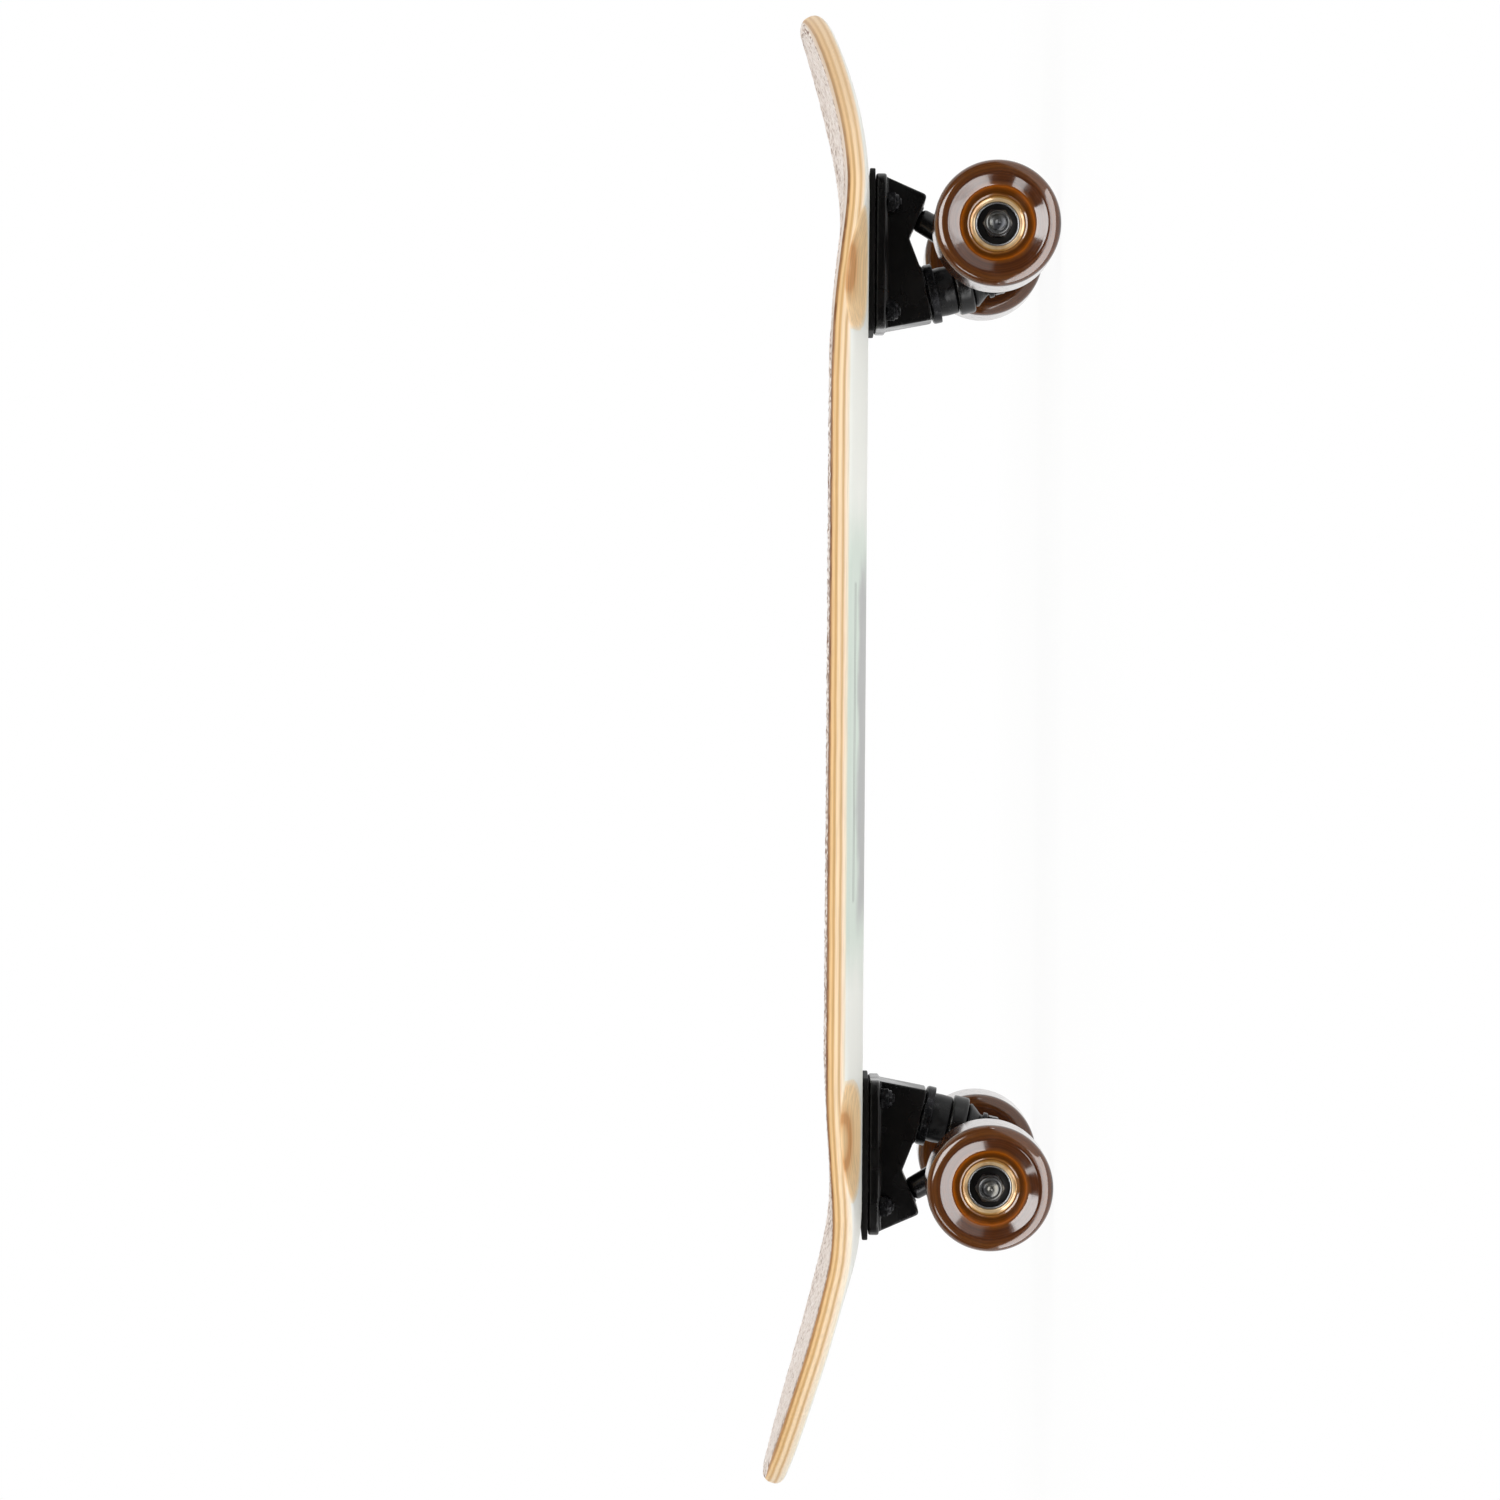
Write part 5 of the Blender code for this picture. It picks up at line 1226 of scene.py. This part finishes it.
class SKATE_OT_wheels(bpy.types.Operator):
    """Builds the urethane wheels with their cores and bearings"""
    bl_idname = "skateboard.wheels"
    bl_label = "Wheels"

    def execute(self, context):
        look = context.scene.skateboard_wheel
        urethane, gold = urethane_finish(look), core_finish(look)
        steel, black = race_finish(), shield_finish(look)
        radius, half = WHEEL_HIGH.z / MM / 2, 20.5
        dish = half - look.dish_depth / MM
        face = rounded([(13.55, 12.9), (14.5, 13.3), (18.5, dish - 0.6), (24.0, half), (radius, half),
                        (radius, 0)], [0, 0.9, 2.6, 3.4, look.lip / MM, 0], steps=10)
        tyre = turned(face + flipped(face)[1:], 128, closed=True)
        # The bearing's shoulder, its seat and the core's beaded edge
        core = [(9.6, 4.6), (11.05, 4.7), (11.05, 12.2), (10.75, 12.3), (10.8, 12.5), (11.1, 12.65),
                (11.3, 12.6), (11.5, 12.8), (12.75, 13.35), (12.9, 13.3), (13.05, 13.45), (13.2, 13.45),
                (13.4, 13.3), (13.5, 12.8)]
        core = turned(core + flipped(core), 96, closed=True)
        race = [(9.75, 0), (10.35, 0), (11, 1.1), (11, BEARING_WIDTH), (9.75, BEARING_WIDTH)]
        race = rounded_ring(race, [0.15, 0.3, 0.3, 0.5, 0.2], steps=4)
        shield = turned([(6.45, 0.5), (6.6, 0.35), (7.4, 0.35), (7.55, 0.45), (9.2, 0.45), (9.35, 0.3),
                         (9.65, 0.3), (9.72, 0.4), (9.72, 6.6), (6.45, 6.6)], 72, closed=True)
        outwards = Matrix.Translation((0, 0, -BEARING_FACE * MM))
        inwards = Matrix.Translation((0, 0, BEARING_FACE * MM)) @ Matrix.Rotation(math.pi, 4, "X")
        for end, place in TRUCKS.items():
            for side in (1, -1):
                prefix = side_prefix(end, side)
                body = prefix + "wheel"
                hub = place @ in_metres(on_axle(WHEEL_MIDDLE, side))
                made = new_object(prefix + "wheel_tyre", tyre)
                fit(made, urethane, body, hub, [prefix + "wheel"], sharp=60)
                fit(new_object(prefix + "wheel_core", core), gold, body, hub, [])
                for where, turn in (("inner", outwards), ("outer", inwards)):
                    made = new_object(f"{prefix}{where}_race", race)
                    fit(made, steel, body, hub @ turn, [f"{prefix}{where}_bearing"])
                    made = new_object(f"{prefix}{where}_shield", shield)
                    fit(made, black, body, hub @ turn, [])
        return {"FINISHED"}


# Camera and studio


def photo_camera():
    """The camera at the photograph's angle, with the nose up in the picture."""
    made = bpy.data.objects.new("camera", bpy.data.cameras.new("camera"))
    bpy.context.collection.objects.link(made)
    made.data.lens = SENSOR_WIDTH * FOCAL_PIXELS / PICTURE_PIXELS
    made.data.sensor_width = SENSOR_WIDTH
    # The model's axes as the camera sees them: across the board, and along it to the nose
    away = Vector([pixels / FOCAL_PIXELS for pixels in VANISHING_POINT] + [-1]).normalized()
    up = Vector((math.sin(CAMERA_ROLL), math.cos(CAMERA_ROLL), 0))
    up = (up - away * up.dot(away)).normalized()
    turn = Matrix((up, away, up.cross(away))).to_4x4()
    made.matrix_world = Matrix.Translation(CAMERA_PLACE) @ turn
    bpy.context.scene.camera = made


def lamp(name, place, target, wide, tall, power, seen_by):
    """A soft rectangular lamp that faces a target, for plain light or for highlights."""
    made = bpy.data.objects.new(name, bpy.data.lights.new(name, "AREA"))
    bpy.context.collection.objects.link(made)
    made.data.shape, made.data.size, made.data.size_y = "RECTANGLE", wide, tall
    made.data.energy = power
    made.visible_camera = False
    made.visible_glossy, made.visible_diffuse = seen_by == "glossy", seen_by == "diffuse"
    way = Vector(target) - Vector(place)
    made.matrix_world = Matrix.Translation(place) @ way.to_track_quat("-Z", "Y").to_matrix().to_4x4()


def bare_tree(owner):
    """A material's or a world's node tree, emptied: its light path and what adds nodes to it."""
    owner.use_nodes = True
    owner.node_tree.nodes.clear()
    add = partial(node, owner.node_tree)
    return add, add("LightPath").outputs


def floor_finish(look):
    """A pale matt floor: it keeps the board's shadow and turns into the white surround further off."""
    made = bpy.data.materials.new("pale_studio_floor")
    add, path = bare_tree(made)
    seen = add("Math", path["Is Camera Ray"], path["Is Glossy Ray"], operation="MAXIMUM")
    seen = add("Math", seen, path["Is Transmission Ray"], operation="MAXIMUM")
    place = add("TexCoord").outputs["Object"]
    reach = add("VectorMath", place, operation="LENGTH")
    far = add("MapRange", reach, 0.30, 0.65, 0.94, 1, **SMOOTH)
    # In reflections the floor in front of the board runs out into the dim room
    front = add("MapRange", add("SeparateXYZ", place).outputs[1], -0.26, -0.18, 0.05, 1, **SMOOTH)
    white = add("Emission", (1, 1, 1), add("Mix", path["Is Glossy Ray"], 1, front))
    share = add("Math", seen, far, operation="MULTIPLY")
    add("OutputMaterial", add("MixShader", share, add("BsdfDiffuse", look.floor), white))
    return made


def surround(look):
    """The white surround. The room behind the camera is dim in reflections."""
    made = bpy.data.worlds.new("studio")
    add, path = bare_tree(made)
    way = add("SeparateXYZ", add("TexCoord").outputs["Generated"]).outputs
    room = add("MapRange", way[1], -0.12, 0.14, 0.03, 1, **SMOOTH)
    plain = add("Math", path["Is Camera Ray"], path["Is Transmission Ray"], operation="MAXIMUM")
    glossy = add("Mix", path["Is Glossy Ray"], look.sky_level, room)
    add("OutputWorld", add("Background", (1, 1, 1), add("Mix", plain, glossy, 1)))
    return made


class SKATE_OT_studio(bpy.types.Operator):
    """Sets up the floor, the white surround, the lamps and the camera"""
    bl_idname = "skateboard.studio"
    bl_label = "Studio"

    def execute(self, context):
        look = context.scene.skateboard_studio
        corners = [(-4000, -4000, 0), (4000, -4000, 0), (4000, 6000, 0), (-4000, 6000, 0)]
        floor = new_object("floor", (np.array(corners), [[0, 1, 2, 3]]))
        floor.data.materials.append(floor_finish(look))
        context.scene.world = surround(look)

        power = look.lamp_level
        lamp("key", (0.9, -1.3, 1.3), (0, 0, 0.06), 1.0, 1.0, 7 * power, "diffuse")
        lamp("fill", (-0.9, -1.4, 0.5), (0, 0, 0.06), 1.2, 0.8, 4 * power, "diffuse")
        lamp("top", (0.0, 0.1, 1.6), (0, 0, 0), 1.2, 0.8, 6 * power, "diffuse")
        lamp("table", (0, 0, 0.001), (0, 0, 1), 1.0, 0.4, 0.5 * power, "diffuse")
        lamp("window", (0.45, -1.35, 1.2), (0, -0.1, 0.04), 1.15, 1.2, 38 * power, "glossy")
        lamp("low_window", (-1.0, -1.2, 0.9), (0, -0.1, 0.04), 0.35, 0.8, 5 * power, "glossy")
        for name, x in (("front_strip", FRONT_X - 0.065), ("rear_strip", REAR_X - 0.085)):
            lamp(name, (x, -0.15, 0.001), (x, -0.15, 1), 0.19, 0.09, 0.3 * power, "glossy")
        photo_camera()
        context.scene.view_settings.view_transform = "Standard"
        return {"FINISHED"}


class SKATE_PT_pieces(bpy.types.Panel):
    """Lists the skateboard's pieces and their settings"""
    bl_idname = "SKATE_PT_pieces"
    bl_label = "Cruiser skateboard"
    bl_space_type = "VIEW_3D"
    bl_region_type = "UI"
    bl_category = "Skateboard"

    def draw(self, context):
        for operator in OPERATORS:
            self.layout.operator(operator.bl_idname)
        for group in SETTINGS:
            box = self.layout.box()
            box.label(text=group.__doc__)
            for key in group.__annotations__:
                box.prop(getattr(context.scene, SETTINGS[group]), key)


SETTINGS = {BoardSettings: "skateboard_board", TruckSettings: "skateboard_truck",
            WheelSettings: "skateboard_wheel", StudioSettings: "skateboard_studio"}
OPERATORS = (SKATE_OT_deck, SKATE_OT_grip, SKATE_OT_riser_pads, SKATE_OT_baseplates,
             SKATE_OT_mounting_hardware, SKATE_OT_hangers, SKATE_OT_kingpins, SKATE_OT_bushings,
             SKATE_OT_axles, SKATE_OT_wheels, SKATE_OT_studio)


def register():
    for group, name in SETTINGS.items():
        bpy.utils.register_class(group)
        setattr(bpy.types.Scene, name, PointerProperty(type=group))
    for made in (*OPERATORS, SKATE_PT_pieces):
        bpy.utils.register_class(made)


def unregister():
    for made in (SKATE_PT_pieces, *OPERATORS[::-1]):
        bpy.utils.unregister_class(made)
    for group, name in SETTINGS.items():
        delattr(bpy.types.Scene, name)
        bpy.utils.unregister_class(group)


def main():
    """Registers the add-on and builds every piece."""
    register()
    for operator in OPERATORS:
        group, name = operator.bl_idname.split(".")
        getattr(getattr(bpy.ops, group), name)()


if __name__ == "__main__":
    main()
